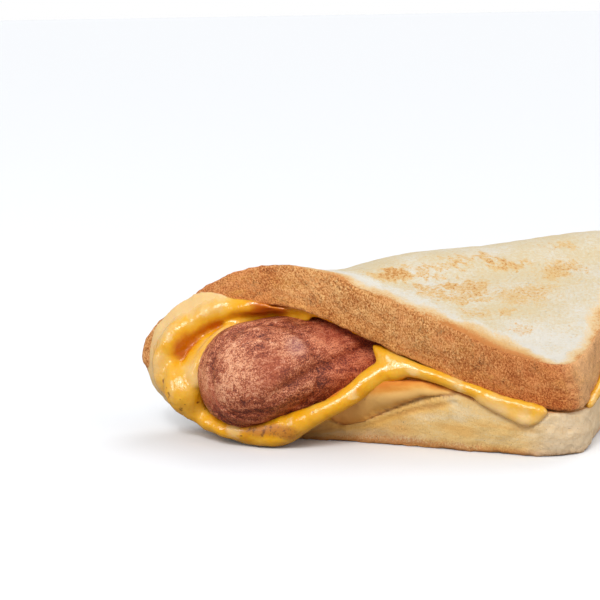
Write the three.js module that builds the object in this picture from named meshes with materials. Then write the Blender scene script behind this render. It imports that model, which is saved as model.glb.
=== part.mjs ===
// A hot dog in toast bread: one square slice of soft white bread folded corner to corner
// round a thick sausage, with a melted slice of cheese lining the fold.
//
// Millimetres, +Z up.  The fold and the sausage run along X, and the two loose corners of
// the slice meet at the front, towards -Y.  The slice lies on its lower flap.
//
// Two ways of saying where a point is are used all through:
//   on the flat slice   p along the fold, q across it; the fold line is q = 0, the upper
//                       flap is q > 0 and the lower flap q < 0
//   in the section      v towards the front, z up
import * as THREE from 'three';
import { mergeVertices } from 'three/addons/utils/BufferGeometryUtils.js';

// ---------------------------------------------------------------- driving dimensions

// the slice
const SLICE_SIDE = 120;               // crust to crust
const SLICE_CORNER = 12;              // rounding of its corners
const TIGHT_CORNER = 6.5;             // rounding of the upper loose one
const CRUMB = 10.9;                   // thickness where nothing presses on it
const CRUST_BULGE = 0.7;              // how far the middle of the crust stands out

// the sausage
const AXIS_HEIGHT = 18.5;             // its axis above the table
const SAUSAGE_RADIUS = 13.8;
const SAUSAGE_HALF = 78;              // half its length
const SAUSAGE_CAP = 15;               // length of each rounded end
const SAUSAGE_BLUNTNESS = 2.3;        // 2 would be a round end
const SAUSAGE_LUMPS = 0.012;          // unevenness, as a share of the radius
const LUMP_LENGTHS = [11, 23];        // two waves of it along the sausage

// the fold's inner face: back, top and upper flap
const FOLD_RADIUS = 16.6;
const FLAP_SLOPE = radians(33.5);     // how steeply the upper flap comes down
const FLAP_STRAIGHT = 25.2;           // its straight run
const FLAP_EASING = 39.9;             // radius of the bend that follows
const FLAP_SLOPE_END = radians(6.5);  // its slope at the loose corner

// the fold's inner face: under the sausage, and the lower flap with its roll of crumb
const PRESSED_CRUMB = 3;              // what is left of the thickness under the sausage
const UNDER_FLAT = 1.5;
const ROLL_RISE = radians(60);        // how steeply the crumb rises in front of the sausage
const ROLL_RADIUS = 12;
const ROLL_FALL = radians(19);
const ROLL_STRAIGHT = 9;
const FRONT_EASING = 25;
const FRONT_FALL = radians(5);        // the lower flap's slope at its loose corner

// the fold's outer face
const FLAP_SHEAR = 0.31;              // how much it lags behind the inner one
const BACK_CURVE = 18.5;              // its radius from the back down to the table
const BACK_STRETCH = 1.247;           // how much longer it is there than the inner one
const RIDGE_DENT = { depth: 3, at: [-38, 27], size: [15, 13] };    // on the flat slice
const RIDGE_SWELL = { height: 1.6, at: [42, 32], size: [26, 22] };
const SQUEEZE = { push: 5, q: -38, inland: 14, width: 10 };  // crumb pushed out at the edge

// the cheese
const CLEARANCE = 0.4;                // between touching pieces
const CHEESE_SHEET = 1.8;             // its thickness round the back and the top
const CHEESE_PRESSED = 0.8;           // its thickness under the sausage
const PRESSED_FROM = [8, 22];         // q of the lower flap over which it thins
const CHEESE_TOP = 42;                // how far it reaches up the upper flap
const CHEESE_FRONT = 76;              // and over the lower flap, almost to its corner
const CHEESE_BORE = SAUSAGE_RADIUS + 0.6;
const FILL_TOP = radians(132);        // where the filling leaves the sausage, from below
const FILL_START = 39;                // where it meets the upper flap
const FILL_FRONT_SHARE = 0.6;         // share of its rows that lie along the upper flap
const FILL_GAP = 1.6;                 // gap between its top and the sheet above it
const FILL_GAP_LENGTH = 9;
const OVERHANG_LEFT = 11.3;           // cheese past the crust at the left end of the fold
const OVERHANG_RIGHT = 8;
const OVERHANG_LOWER = [-45, -24];    // q over which it grows on the lower flap
const OVERHANG_UPPER = [28, 13];      // and on the upper one
const SEAM_BEAD = 1.6;                // cheese squeezed out between the two flaps
const SETBACK = 1.5;                  // how far inside the crust it ends on the upper flap
const CURL = 1.5;                     // cheese that the turn over the crust's edge takes up
const CURL_LIP = [-30, -14];          // q over which the flat lip turns into the curl

// the lip of cheese under each end of the sausage
const LIP_FOOT_HEIGHT = 0.9;          // its underside
const LIP_SAG = [1.2, 5];             // the run over which it sags to there
const LIP_FOOT_UNDER = 1.45;          // how much further its foot runs out than its top
const LIP_FOOT_BESIDE = 0.35;         // the same beside the sausage
const LIP_LIES_FLAT = [-36, -31];     // q over which the first gives way to the second
const LIP_JOINS_SEAM = [-38, -46];    // and the second to an upright edge

// grids
const BREAD_STEPS = 32;
const BREAD_LAYERS = 2;
const CHEESE_ROWS = 36;
const CHEESE_COLUMNS = 20;            // over the bread
const OVERHANG_COLUMNS = 4;           // past it, at each end of a row
const SAUSAGE_RINGS = 26;
const SAUSAGE_SIDES = 22;
const SAUSAGE_CAP_SHARE = 0.27;       // share of the rings on each rounded end

const QUARTER = Math.PI / 2;
const HALF_DIAGONAL = SLICE_SIDE / Math.SQRT2;
const SMALL = 1e-5;

// ---------------------------------------------------------------- arithmetic

function radians(degrees) {
  return degrees * Math.PI / 180;
}

function lerp(a, b, share) {
  return a + (b - a) * share;
}

function clamp01(x) {
  return Math.min(Math.max(x, 0), 1);
}

// 0 at a, 1 at b, smooth between them and level beyond; a may be the larger one
function ease(x, [a, b]) {
  const share = clamp01((x - a) / (b - a));
  return share * share * (3 - 2 * share);
}

function softBump(x, y, at, size) {
  return Math.exp(-(((x - at[0]) / size[0]) ** 2) - ((y - at[1]) / size[1]) ** 2);
}

// ---------------------------------------------------------------- the section of the fold
//
// A profile is a path in the section: a start, and arcs and straight stretches that are
// walked by their length.

function arc(radius, turn) {
  return { length: radius * Math.abs(turn), turn };
}

function straight(length) {
  return { length, turn: 0 };
}

function walk(profile, distance) {
  let { v, z, heading } = profile;
  let left = distance;
  for (const stretch of profile.stretches) {
    const run = Math.min(left, stretch.length);
    if (stretch.turn === 0) {
      v += run * Math.cos(heading);
      z += run * Math.sin(heading);
    } else {
      const radius = stretch.length / stretch.turn;
      const next = heading + run / radius;
      v += radius * (Math.sin(next) - Math.sin(heading));
      z -= radius * (Math.cos(next) - Math.cos(heading));
      heading = next;
    }
    left -= run;
  }
  return { v, z, heading, turned: Math.abs(heading - profile.heading) };
}

// from the back of the fold over the top and down to the upper loose corner
const UPPER_INNER = {
  v: -FOLD_RADIUS,
  z: AXIS_HEIGHT,
  heading: QUARTER,
  stretches: [
    arc(FOLD_RADIUS, -(QUARTER + FLAP_SLOPE)),
    straight(FLAP_STRAIGHT),
    arc(FLAP_EASING, FLAP_SLOPE - FLAP_SLOPE_END),
    straight(SLICE_SIDE),
  ],
};

// from the back of the fold under the sausage, over the roll of crumb that it squeezes up
// in front of it, and on to the lower loose corner
const UNDER_RADIUS = AXIS_HEIGHT - PRESSED_CRUMB;
const LOWER_INNER = {
  v: -FOLD_RADIUS,
  z: AXIS_HEIGHT,
  heading: -QUARTER,
  stretches: [
    arc(UNDER_RADIUS, QUARTER),
    straight(UNDER_FLAT),
    arc(UNDER_RADIUS, ROLL_RISE),
    arc(ROLL_RADIUS, -(ROLL_RISE + ROLL_FALL)),
    straight(ROLL_STRAIGHT),
    arc(FRONT_EASING, ROLL_FALL - FRONT_FALL),
    straight(SLICE_SIDE),
  ],
};
const NOTCH = UNDER_RADIUS * (QUARTER + ROLL_RISE) + UNDER_FLAT;  // q at the foot of the roll

// from the back of the fold down to the table, and along it
const LOWER_OUTER = {
  v: -FOLD_RADIUS - CRUMB,
  z: AXIS_HEIGHT,
  heading: -QUARTER,
  stretches: [arc(BACK_CURVE, QUARTER), straight(SLICE_SIDE)],
};
const LANDING = BACK_CURVE * QUARTER;

function offset(point, normal, distance) {
  return {
    v: point.v + Math.cos(normal) * distance,
    z: point.z + Math.sin(normal) * distance,
    heading: point.heading,
  };
}

// the section's point at q, lifted off the bread's inner face into the fold
function liningPoint(q, lift) {
  if (q >= 0) {
    const at = walk(UPPER_INNER, q);
    return offset(at, at.heading - QUARTER, lift);
  }
  const at = walk(LOWER_INNER, -q);
  return offset(at, at.heading + QUARTER, lift);
}

// the same on the bread's outer face
function outerPoint(q, thickness) {
  if (q >= 0) {
    const lag = FLAP_SHEAR * thickness * walk(UPPER_INNER, q).turned;
    const at = walk(UPPER_INNER, Math.max(q - lag, 0));
    return offset(at, at.heading + QUARTER, thickness);
  }
  const stretched = Math.min(-q * BACK_STRETCH, LANDING);
  return walk(LOWER_OUTER, stretched + Math.max(-q - LANDING / BACK_STRETCH, 0));
}

// ---------------------------------------------------------------- the flat slice

// half the slice's length along the fold, at q
function sliceReach(q) {
  const across = Math.abs(q);
  if (across < SLICE_CORNER / Math.SQRT2) {
    const centre = HALF_DIAGONAL - SLICE_CORNER * Math.SQRT2;
    return centre + Math.sqrt(SLICE_CORNER ** 2 - across ** 2);
  }
  const looseCorner = q > 0 ? TIGHT_CORNER : SLICE_CORNER;
  if (across > HALF_DIAGONAL - looseCorner / Math.SQRT2) {
    const centre = HALF_DIAGONAL - looseCorner * Math.SQRT2;
    return Math.sqrt(Math.max(looseCorner ** 2 - (across - centre) ** 2, 0));
  }
  return HALF_DIAGONAL - across;
}

// the outline's outward direction at q: [along the fold, across it]
function outlineNormal(q, side) {
  const across = Math.min(Math.abs(q) / SLICE_CORNER, Math.SQRT1_2) * Math.sign(q);
  return [side * Math.sqrt(1 - across * across), across];
}

// the same direction in space, once the slice is folded
function outwards(q, side) {
  const [along, across] = outlineNormal(q, side);
  const at = liningPoint(q, 0);
  const tangent = q >= 0 ? at.heading : at.heading + Math.PI;
  return new THREE.Vector3(along, -across * Math.cos(tangent), across * Math.sin(tangent));
}

// a closed body from a geometry whose corners are moved by a function
function shaped(geometry, place) {
  geometry.deleteAttribute('normal');
  geometry.deleteAttribute('uv');
  const merged = mergeVertices(geometry, SMALL);
  const position = merged.attributes.position;
  const corner = new THREE.Vector3();
  for (let i = 0; i < position.count; i += 1) {
    corner.fromBufferAttribute(position, i);
    place(corner);
    position.setXYZ(i, corner.x, corner.y, corner.z);
  }
  merged.computeVertexNormals();
  return merged;
}

// ---------------------------------------------------------------- bread

// the top of the fold sinks behind its raised crust, and swells towards the other end
function ridgeRelief(p, q) {
  const dent = RIDGE_DENT.depth * softBump(p, q, RIDGE_DENT.at, RIDGE_DENT.size);
  return RIDGE_SWELL.height * softBump(p, q, RIDGE_SWELL.at, RIDGE_SWELL.size) - dent;
}

// where a point of the lower flap's inner face goes when the sausage squeezes the crumb out
// beside it, still on the flat slice
function squeezed(p, q) {
  const [along, across] = outlineNormal(q, Math.sign(p) || 1);
  const inland = sliceReach(q) - Math.abs(p);
  const push = SQUEEZE.push * softBump(inland, q, [0, SQUEEZE.q], [SQUEEZE.inland, SQUEEZE.width]);
  return { p: p + along * push, q: q + across * push };
}

function breadPoint(p, q, depth) {
  const moved = squeezed(p, q);
  const inner = liningPoint(moved.q, 0);
  const outer = outerPoint(q, CRUMB + (q > 0 ? ridgeRelief(p, q) : 0));
  return new THREE.Vector3(
    lerp(moved.p, p, depth),
    -lerp(inner.v, outer.v, depth),
    lerp(inner.z, outer.z, depth),
  );
}

// a square's point on the slice, whose corners are round
function roundedSquare(a, b) {
  const core = SLICE_SIDE / 2 - (a > 0 && b > 0 ? TIGHT_CORNER : SLICE_CORNER);
  const inA = THREE.MathUtils.clamp(a, -core, core);
  const inB = THREE.MathUtils.clamp(b, -core, core);
  const square = Math.max(Math.abs(a - inA), Math.abs(b - inB));
  const shrink = square / (Math.hypot(a - inA, b - inB) || 1);
  return [inA + (a - inA) * shrink, inB + (b - inB) * shrink];
}

function makeBread() {
  const side = SLICE_SIDE;
  const slab = new THREE.BoxGeometry(side, side, 1, BREAD_STEPS, BREAD_STEPS, BREAD_LAYERS);
  return shaped(slab, (corner) => {
    const onCrust = Math.max(Math.abs(corner.x), Math.abs(corner.y)) > side / 2 - SMALL;
    const [a, b] = roundedSquare(corner.x, corner.y);
    const p = (a - b) / Math.SQRT2;
    const q = (a + b) / Math.SQRT2;
    const depth = 0.5 - corner.z;
    corner.copy(breadPoint(p, q, depth));
    if (onCrust) {
      const bulge = CRUST_BULGE * Math.sin(Math.PI * depth);
      corner.addScaledVector(outwards(q, Math.sign(p) || 1), bulge);
    }
  });
}

// ---------------------------------------------------------------- sausage

// one ring: share runs from 0 at one tip to 1 at the other
function sausageRing(share) {
  const shoulder = SAUSAGE_HALF - SAUSAGE_CAP;
  const fromTip = Math.min(share, 1 - share) / SAUSAGE_CAP_SHARE;
  if (fromTip >= 1) {
    return { x: shoulder * (0.5 - share) / (0.5 - SAUSAGE_CAP_SHARE), radius: SAUSAGE_RADIUS };
  }
  const turn = fromTip * QUARTER;
  const power = 2 / SAUSAGE_BLUNTNESS;
  return {
    x: Math.sign(0.5 - share) * (shoulder + SAUSAGE_CAP * Math.cos(turn) ** power),
    radius: SAUSAGE_RADIUS * Math.sin(turn) ** power,
  };
}

function makeSausage() {
  const ball = new THREE.SphereGeometry(1, SAUSAGE_SIDES, SAUSAGE_RINGS);
  const [short, long] = LUMP_LENGTHS;
  return shaped(ball, (corner) => {
    const turn = Math.atan2(corner.z, corner.x);
    const share = Math.acos(THREE.MathUtils.clamp(corner.y, -1, 1)) / Math.PI;
    const { x, radius } = sausageRing(share);
    const lumps = Math.sin(x / short + 2 * turn) + Math.sin(x / long - turn) - 1;
    const uneven = radius * (1 + SAUSAGE_LUMPS * lumps);
    corner.set(x, -Math.cos(turn) * uneven, AXIS_HEIGHT + Math.sin(turn) * uneven);
  });
}

// ---------------------------------------------------------------- cheese

// the side of the cheese that lies on the bread
function cheeseOutside(q) {
  return liningPoint(q, CLEARANCE);
}

const NOTCH_POINT = walk(LOWER_INNER, NOTCH);
const NOTCH_ANGLE = Math.atan2(NOTCH_POINT.v, AXIS_HEIGHT - NOTCH_POINT.z);

// The side that faces the sausage.  Over the lower flap the cheese fills the wedge between
// the flaps, so there it climbs the front of the sausage, turns, and follows the upper flap.
function cheeseInside(q) {
  const along = (-q - NOTCH) / (CHEESE_FRONT - NOTCH);
  if (along <= 0) {
    const pressed = ease(-q, PRESSED_FROM);
    return liningPoint(q, CLEARANCE + lerp(CHEESE_SHEET, CHEESE_PRESSED, pressed));
  }
  const turnAt = 1 - FILL_FRONT_SHARE;
  if (along < turnAt) {
    const angle = lerp(NOTCH_ANGLE, FILL_TOP, along / turnAt);
    return {
      v: CHEESE_BORE * Math.sin(angle),
      z: AXIS_HEIGHT - CHEESE_BORE * Math.cos(angle),
    };
  }
  const far = lerp(FILL_START, CHEESE_FRONT - 1, (along - turnAt) / FILL_FRONT_SHARE);
  const gap = FILL_GAP * (1 - ease(far, [FILL_START, FILL_START + FILL_GAP_LENGTH]));
  return liningPoint(far, CLEARANCE + gap);
}

// how far the cheese runs past the crust's inner edge: far out over the ends of the fold,
// a bead along the seam of the flaps, and back inside on the upper flap
function overhang(q, side) {
  const full = side < 0 ? OVERHANG_LEFT : OVERHANG_RIGHT;
  const seam = lerp(SEAM_BEAD, full, ease(q, OVERHANG_LOWER));
  return lerp(-SETBACK, seam, ease(q, OVERHANG_UPPER));
}

// The overhang as a lip, which cups the end of the sausage above and lies flat below.  Its
// foot runs out further than its top under the sausage, and hardly at all beside it.
function lipPoint(q, side, s, depth) {
  const [along, across] = outlineNormal(q, side);
  const edge = squeezed(side * sliceReach(q), q);
  const flat = ease(q, LIP_LIES_FLAT);
  const beside = lerp(LIP_FOOT_BESIDE, 1, ease(q, LIP_JOINS_SEAM));
  const footRun = s * lerp(beside, LIP_FOOT_UNDER, flat);
  const start = cheeseOutside(edge.q);
  const onRoll = cheeseOutside(edge.q + across * footRun);
  const low = lerp(start.z, LIP_FOOT_HEIGHT, ease(footRun, LIP_SAG));
  const foot = new THREE.Vector3(
    edge.p + along * footRun,
    -lerp(onRoll.v, start.v - across * footRun, flat),
    lerp(onRoll.z, low, flat),
  );
  const high = cheeseInside(edge.q + across * s);
  return foot.lerp(new THREE.Vector3(edge.p + along * s, -high.v, high.z), depth);
}

// the overhang curled outwards, over the crust
function curlPoint(q, side, s, depth) {
  const standOff = CLEARANCE + CHEESE_SHEET * depth;
  const bend = clamp01(s / CURL) * QUARTER;
  const down = clamp01((s - CURL) / CRUMB);
  const foot = liningPoint(q, 0);
  const lifted = liningPoint(q, standOff * Math.cos(bend));
  const curl = breadPoint(side * sliceReach(q), q, down);
  curl.y -= lifted.v - foot.v;
  curl.z += lifted.z - foot.z;
  const bulge = CRUST_BULGE * Math.sin(Math.PI * down);
  return curl.addScaledVector(outwards(q, side), standOff * Math.sin(bend) + bulge);
}

// s is measured from the crust's inner edge, and is negative over the bread
function cheesePoint(q, side, s, depth) {
  if (s > 0) {
    return lipPoint(q, side, s, depth).lerp(curlPoint(q, side, s, depth), ease(q, CURL_LIP));
  }
  const flat = squeezed(side * (sliceReach(q) + s), q);
  const outside = cheeseOutside(flat.q);
  const inside = cheeseInside(flat.q);
  return new THREE.Vector3(
    flat.p,
    -lerp(outside.v, inside.v, depth),
    lerp(outside.z, inside.z, depth),
  );
}

function makeCheese() {
  const columns = CHEESE_COLUMNS + 2 * OVERHANG_COLUMNS;
  const covered = CHEESE_COLUMNS / columns;
  const sheet = new THREE.BoxGeometry(2, 2, 1, columns, CHEESE_ROWS, 1);
  return shaped(sheet, (corner) => {
    const q = lerp(-CHEESE_FRONT, CHEESE_TOP, (corner.y + 1) / 2);
    const side = Math.sign(corner.x) || 1;
    const share = Math.abs(corner.x);
    // a row has whole columns over the bread and whole columns past its edge
    const end = overhang(q, side);
    const edge = Math.min(0, end - SETBACK);
    const past = clamp01((share - covered) / (1 - covered));
    const inland = Math.max(1 - share / covered, 0) * (sliceReach(q) + edge);
    corner.copy(cheesePoint(q, side, lerp(edge, end, past) - inland, corner.z + 0.5));
  });
}

// ---------------------------------------------------------------- the sandwich

function piece(name, geometry, color, roughness) {
  const material = new THREE.MeshStandardMaterial({ color, roughness, metalness: 0 });
  const mesh = new THREE.Mesh(geometry, material);
  mesh.name = name;
  return mesh;
}

const hotDog = new THREE.Group();
hotDog.add(piece('bread', makeBread(), 0xe3c391, 0.9));
hotDog.add(piece('sausage', makeSausage(), 0xa9684c, 0.45));
hotDog.add(piece('cheese', makeCheese(), 0xf2ad35, 0.3));

// the origin is under the middle of the sandwich, on the table
const extent = new THREE.Box3().setFromObject(hotDog);
const middle = extent.getCenter(new THREE.Vector3());
hotDog.position.set(-middle.x, -middle.y, -extent.min.z);

export default hotDog;
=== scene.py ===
"""The looks of a hot dog in toast bread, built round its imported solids.

A square slice of soft white bread is folded corner to corner round a sausage, and a melted
slice of cheese lines the fold.  Everything is in metres, +Z up.

Two ways of saying where a point is are used all through:
  on the flat slice   p along the fold, q across it; the fold line is q = 0, the upper flap
                      is q > 0 and the lower flap q < 0
  in the section      v towards the front, z up
"""

import math

import bmesh
import bpy
from bpy.props import FloatProperty, FloatVectorProperty, PointerProperty
from mathutils import Matrix, Vector, kdtree, noise


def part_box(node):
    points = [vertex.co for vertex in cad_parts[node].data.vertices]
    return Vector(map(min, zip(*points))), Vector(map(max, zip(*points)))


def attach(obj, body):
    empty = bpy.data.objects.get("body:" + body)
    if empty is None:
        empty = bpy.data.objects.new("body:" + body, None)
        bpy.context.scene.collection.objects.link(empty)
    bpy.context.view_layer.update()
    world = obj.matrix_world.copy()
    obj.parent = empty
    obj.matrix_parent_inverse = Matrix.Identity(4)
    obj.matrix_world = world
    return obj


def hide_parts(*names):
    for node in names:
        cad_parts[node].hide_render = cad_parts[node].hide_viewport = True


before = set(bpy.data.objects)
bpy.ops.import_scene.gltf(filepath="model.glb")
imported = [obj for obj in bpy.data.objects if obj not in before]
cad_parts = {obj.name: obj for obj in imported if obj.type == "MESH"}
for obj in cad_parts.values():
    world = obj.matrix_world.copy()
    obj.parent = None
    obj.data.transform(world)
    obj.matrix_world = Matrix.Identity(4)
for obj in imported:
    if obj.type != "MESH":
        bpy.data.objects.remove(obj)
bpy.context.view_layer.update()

bl_info = {
    "name": "Hot dog in toast bread",
    "version": (1, 0, 0),
    "blender": (4, 5, 0),
    "location": "3D View > Sidebar > Hot dog",
    "description": "Makes the bread, the sausage, the cheese and the stage of a hot dog",
    "category": "Object",
}

MM = 0.001
QUARTER = math.pi / 2
SMALL = 1e-6

# ------------------------------------------------------------------ sizes
#
# from the frame: the sausage's half length, and where its axis lies

sausage_low, sausage_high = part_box("sausage")
SAUSAGE_HALF = (sausage_high.x - sausage_low.x) / 2
AXIS_Y = (sausage_low.y + sausage_high.y) / 2
AXIS_HEIGHT = 18.5 * MM         # a little above the middle of its box

# the slice
SLICE_SIDE = 120 * MM
SLICE_CORNER = 12 * MM
TIGHT_CORNER = 6.5 * MM         # rounding of the upper loose one
CRUMB = 10.9 * MM
HALF_DIAGONAL = SLICE_SIDE / math.sqrt(2)

# the sausage
SAUSAGE_RADIUS = 13.8 * MM
SAUSAGE_CAP = 15 * MM
SAUSAGE_BLUNTNESS = 2.3
SAUSAGE_LUMPS = 0.012
LUMP_LENGTHS = (11 * MM, 23 * MM)

# the fold's inner face: back, top and upper flap
FOLD_RADIUS = 16.6 * MM
FLAP_SLOPE = math.radians(33.5)
FLAP_STRAIGHT = 25.2 * MM
FLAP_EASING = 39.9 * MM
FLAP_SLOPE_END = math.radians(6.5)

# the fold's inner face: under the sausage, and the lower flap with its roll of crumb
PRESSED_CRUMB = 3 * MM
UNDER_FLAT = 1.5 * MM
ROLL_RISE = math.radians(60)
ROLL_RADIUS = 12 * MM
ROLL_FALL = math.radians(19)
ROLL_STRAIGHT = 9 * MM
FRONT_EASING = 25 * MM
FRONT_FALL = math.radians(5)

# the fold's outer face
FLAP_SHEAR = 0.31
BACK_CURVE = 18.5 * MM
BACK_STRETCH = 1.247


# ------------------------------------------------------------------ arithmetic

def lerp(a, b, share):
    """From a to b by a share of the way."""
    return a + (b - a) * share


def clamp(x, low=0.0, high=1.0):
    """x, kept from low to high."""
    return min(max(x, low), high)


def ease(x, start, end):
    """0 at start, 1 at end, smooth between them and level beyond; start may be the larger."""
    share = clamp((x - start) / (end - start))
    return share * share * (3 - 2 * share)


def bump(x, at, size):
    """1 at a place, falling smoothly to 0 on both sides of it."""
    return math.exp(-((x - at) / size) ** 2)


def soft_bump(x, y, at, size):
    """The same on a plane."""
    return bump(x, at[0], size[0]) * bump(y, at[1], size[1])


class Relief:
    """Smooth random lumps about width across, with finer ones on them if it has octaves."""

    def __init__(self, width, seed, octaves=0):
        self.width = width
        self.shift = Vector((seed, 2.3 * seed, -1.7 * seed))
        self.octaves = octaves

    def at(self, point):
        """From -1 to 1, how high it is at a point."""
        spot = Vector(point) / self.width + self.shift
        if self.octaves:
            return noise.fractal(spot, 1.0, 2.0, self.octaves)
        return noise.noise(spot)


# ------------------------------------------------------------------ the section of the fold
#
# A profile is a path in the section: a start, and arcs and straight stretches that are
# walked by their length.

def arc(radius, turn):
    """A stretch that turns, to the left where turn is above 0."""
    return radius * abs(turn), turn


def straight(length):
    """A stretch that does not turn."""
    return length, 0.0


class Profile:
    """A start (v, z, heading) and the stretches that follow it."""

    def __init__(self, v, z, heading, *stretches):
        self.start = (v, z, heading)
        self.stretches = stretches

    def walk(self, distance):
        """(v, z, heading) after that distance."""
        v, z, heading = self.start
        left = distance
        for length, turn in self.stretches:
            run = min(left, length)
            if turn == 0:
                v += run * math.cos(heading)
                z += run * math.sin(heading)
            else:
                radius = length / turn
                after = heading + run / radius
                v += radius * (math.sin(after) - math.sin(heading))
                z -= radius * (math.cos(after) - math.cos(heading))
                heading = after
            left -= run
            if left <= 0:
                break
        return v, z, heading


UPPER_INNER = Profile(
    -FOLD_RADIUS, AXIS_HEIGHT, QUARTER,
    arc(FOLD_RADIUS, -(QUARTER + FLAP_SLOPE)),
    straight(FLAP_STRAIGHT),
    arc(FLAP_EASING, FLAP_SLOPE - FLAP_SLOPE_END),
    straight(SLICE_SIDE),
)
UNDER_RADIUS = AXIS_HEIGHT - PRESSED_CRUMB
LOWER_INNER = Profile(
    -FOLD_RADIUS, AXIS_HEIGHT, -QUARTER,
    arc(UNDER_RADIUS, QUARTER),
    straight(UNDER_FLAT),
    arc(UNDER_RADIUS, ROLL_RISE),
    arc(ROLL_RADIUS, -(ROLL_RISE + ROLL_FALL)),
    straight(ROLL_STRAIGHT),
    arc(FRONT_EASING, ROLL_FALL - FRONT_FALL),
    straight(SLICE_SIDE),
)
LOWER_OUTER = Profile(
    -FOLD_RADIUS - CRUMB, AXIS_HEIGHT, -QUARTER,
    arc(BACK_CURVE, QUARTER),
    straight(SLICE_SIDE),
)
LANDING = BACK_CURVE * QUARTER


def lining_point(q, lift=0.0):
    """The section's point at q, lifted off the bread's inner face into the fold, and which
    way q grows there."""
    if q >= 0:
        v, z, heading = UPPER_INNER.walk(q)
        normal = heading - QUARTER
        grows = heading
    else:
        v, z, heading = LOWER_INNER.walk(-q)
        normal = heading + QUARTER
        grows = heading + math.pi
    return v + math.cos(normal) * lift, z + math.sin(normal) * lift, grows


def outer_point(q, thickness):
    """The section's point at q on the bread's outer face."""
    if q >= 0:
        turned = UPPER_INNER.start[2] - UPPER_INNER.walk(q)[2]
        v, z, heading = UPPER_INNER.walk(max(q - FLAP_SHEAR * thickness * abs(turned), 0))
        normal = heading + QUARTER
        return v + math.cos(normal) * thickness, z + math.sin(normal) * thickness
    stretched = min(-q * BACK_STRETCH, LANDING)
    v, z, _ = LOWER_OUTER.walk(stretched + max(-q - LANDING / BACK_STRETCH, 0))
    return v, z


def place(p, v, z):
    """A point of the section at p, in the frame."""
    return Vector((p, AXIS_Y - v, z))


# ------------------------------------------------------------------ the flat slice

def slice_reach(q):
    """Half the slice's length along the fold, at q."""
    across = abs(q)
    if across < SLICE_CORNER / math.sqrt(2):
        centre = HALF_DIAGONAL - SLICE_CORNER * math.sqrt(2)
        return centre + math.sqrt(SLICE_CORNER ** 2 - across ** 2)
    loose = TIGHT_CORNER if q > 0 else SLICE_CORNER
    if across > HALF_DIAGONAL - loose / math.sqrt(2):
        centre = HALF_DIAGONAL - loose * math.sqrt(2)
        return math.sqrt(max(loose ** 2 - (across - centre) ** 2, 0))
    return HALF_DIAGONAL - across


def outline_normal(q, side):
    """The outline's outward direction at q: along the fold, and across it."""
    across = math.copysign(min(abs(q) / SLICE_CORNER, math.sqrt(0.5)), q)
    return side * math.sqrt(1 - across * across), across


def outwards(q, side):
    """The same direction in space, once the slice is folded."""
    along, across = outline_normal(q, side)
    grows = lining_point(q)[2]
    return Vector((along, -across * math.cos(grows), across * math.sin(grows)))


# ------------------------------------------------------------------ meshes and objects

def box_grid(bm, *cuts_along):
    """A unit cube whose faces are cut into a grid, with cuts along x, y and z."""
    bmesh.ops.create_cube(bm, size=1.0)
    for axis in (2, 0, 1):
        cuts = cuts_along[axis]
        edges = [e for e in bm.edges if abs((e.verts[0].co - e.verts[1].co)[axis]) > SMALL]
        if cuts:
            bmesh.ops.subdivide_edges(bm, edges=edges, cuts=cuts, use_grid_fill=True)


def dense_at_ends(x, share):
    """Moves x, from -1 to 1, so that even steps come closer together at both ends."""
    return lerp(x, math.sin(x * QUARTER), share)


def new_object(name, data):
    """A new object in the scene."""
    thing = bpy.data.objects.new(name, data)
    bpy.context.scene.collection.objects.link(thing)
    return thing


def mesh_object(name, bm):
    """A new object with a bmesh's shape, which frees the bmesh."""
    mesh = bpy.data.meshes.new(name)
    bm.to_mesh(mesh)
    bm.free()
    return new_object(name, mesh)


def finish_piece(name, bm, node, material):
    """Makes a piece of a bmesh, which stands for a solid and rides on its body."""
    piece = mesh_object(name, bm)
    for polygon in piece.data.polygons:
        polygon.use_smooth = True
    piece.data.materials.append(material)
    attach(piece, "root")
    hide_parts(node)


# ------------------------------------------------------------------ shader nodes

def colour(red, green, blue):
    """A shader's colour from the red, green and blue of a display, 0 to 255."""
    def linear(x):
        x /= 255
        return x / 12.92 if x <= 0.04045 else ((x + 0.055) / 1.055) ** 2.4
    return linear(red), linear(green), linear(blue), 1.0


def plug(tree, socket, value):
    """Sets a socket to a value, or links it to another node's output."""
    if isinstance(value, bpy.types.NodeSocket):
        tree.links.new(value, socket)
    else:
        socket.default_value = value


def plug_all(tree, node, inputs):
    """The same for several inputs of a node."""
    for name, value in inputs.items():
        plug(tree, node.inputs[name], value)


def add(tree, kind, inputs=None, **settings):
    """A new shader node, with settings, and inputs that are values or other nodes' outputs."""
    node = tree.nodes.new("ShaderNode" + kind)
    for name, value in settings.items():
        setattr(node, name, value)
    plug_all(tree, node, inputs or {})
    return node


def attribute(tree, name, output="Fac"):
    """A value that the mesh's points carry."""
    return add(tree, "Attribute", attribute_name=name).outputs[output]


def parts_of(tree, vector):
    """The three parts of a vector."""
    return tuple(add(tree, "SeparateXYZ", {"Vector": vector}).outputs)


def maths(tree, operation, a, b=0.0):
    """One step of arithmetic on numbers or outputs."""
    return add(tree, "Math", {0: a, 1: b}, operation=operation).outputs[0]


def plus(tree, a, b):
    """a + b."""
    return maths(tree, "ADD", a, b)


def minus(tree, a, b):
    """a - b."""
    return maths(tree, "SUBTRACT", a, b)


def times(tree, first, *others):
    """The product of all of them."""
    for other in others:
        first = maths(tree, "MULTIPLY", first, other)
    return first


def greater(tree, a, b):
    """The greater of a and b."""
    return maths(tree, "MAXIMUM", a, b)


def absolute(tree, a):
    """a without its sign."""
    return maths(tree, "ABSOLUTE", a)


def wobble(tree, value, *noises):
    """A value with noises added, each one (noise, amount), where amount is its whole range."""
    for noise_value, amount in noises:
        value = plus(tree, value, times(tree, minus(tree, noise_value, 0.5), amount))
    return value


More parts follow.
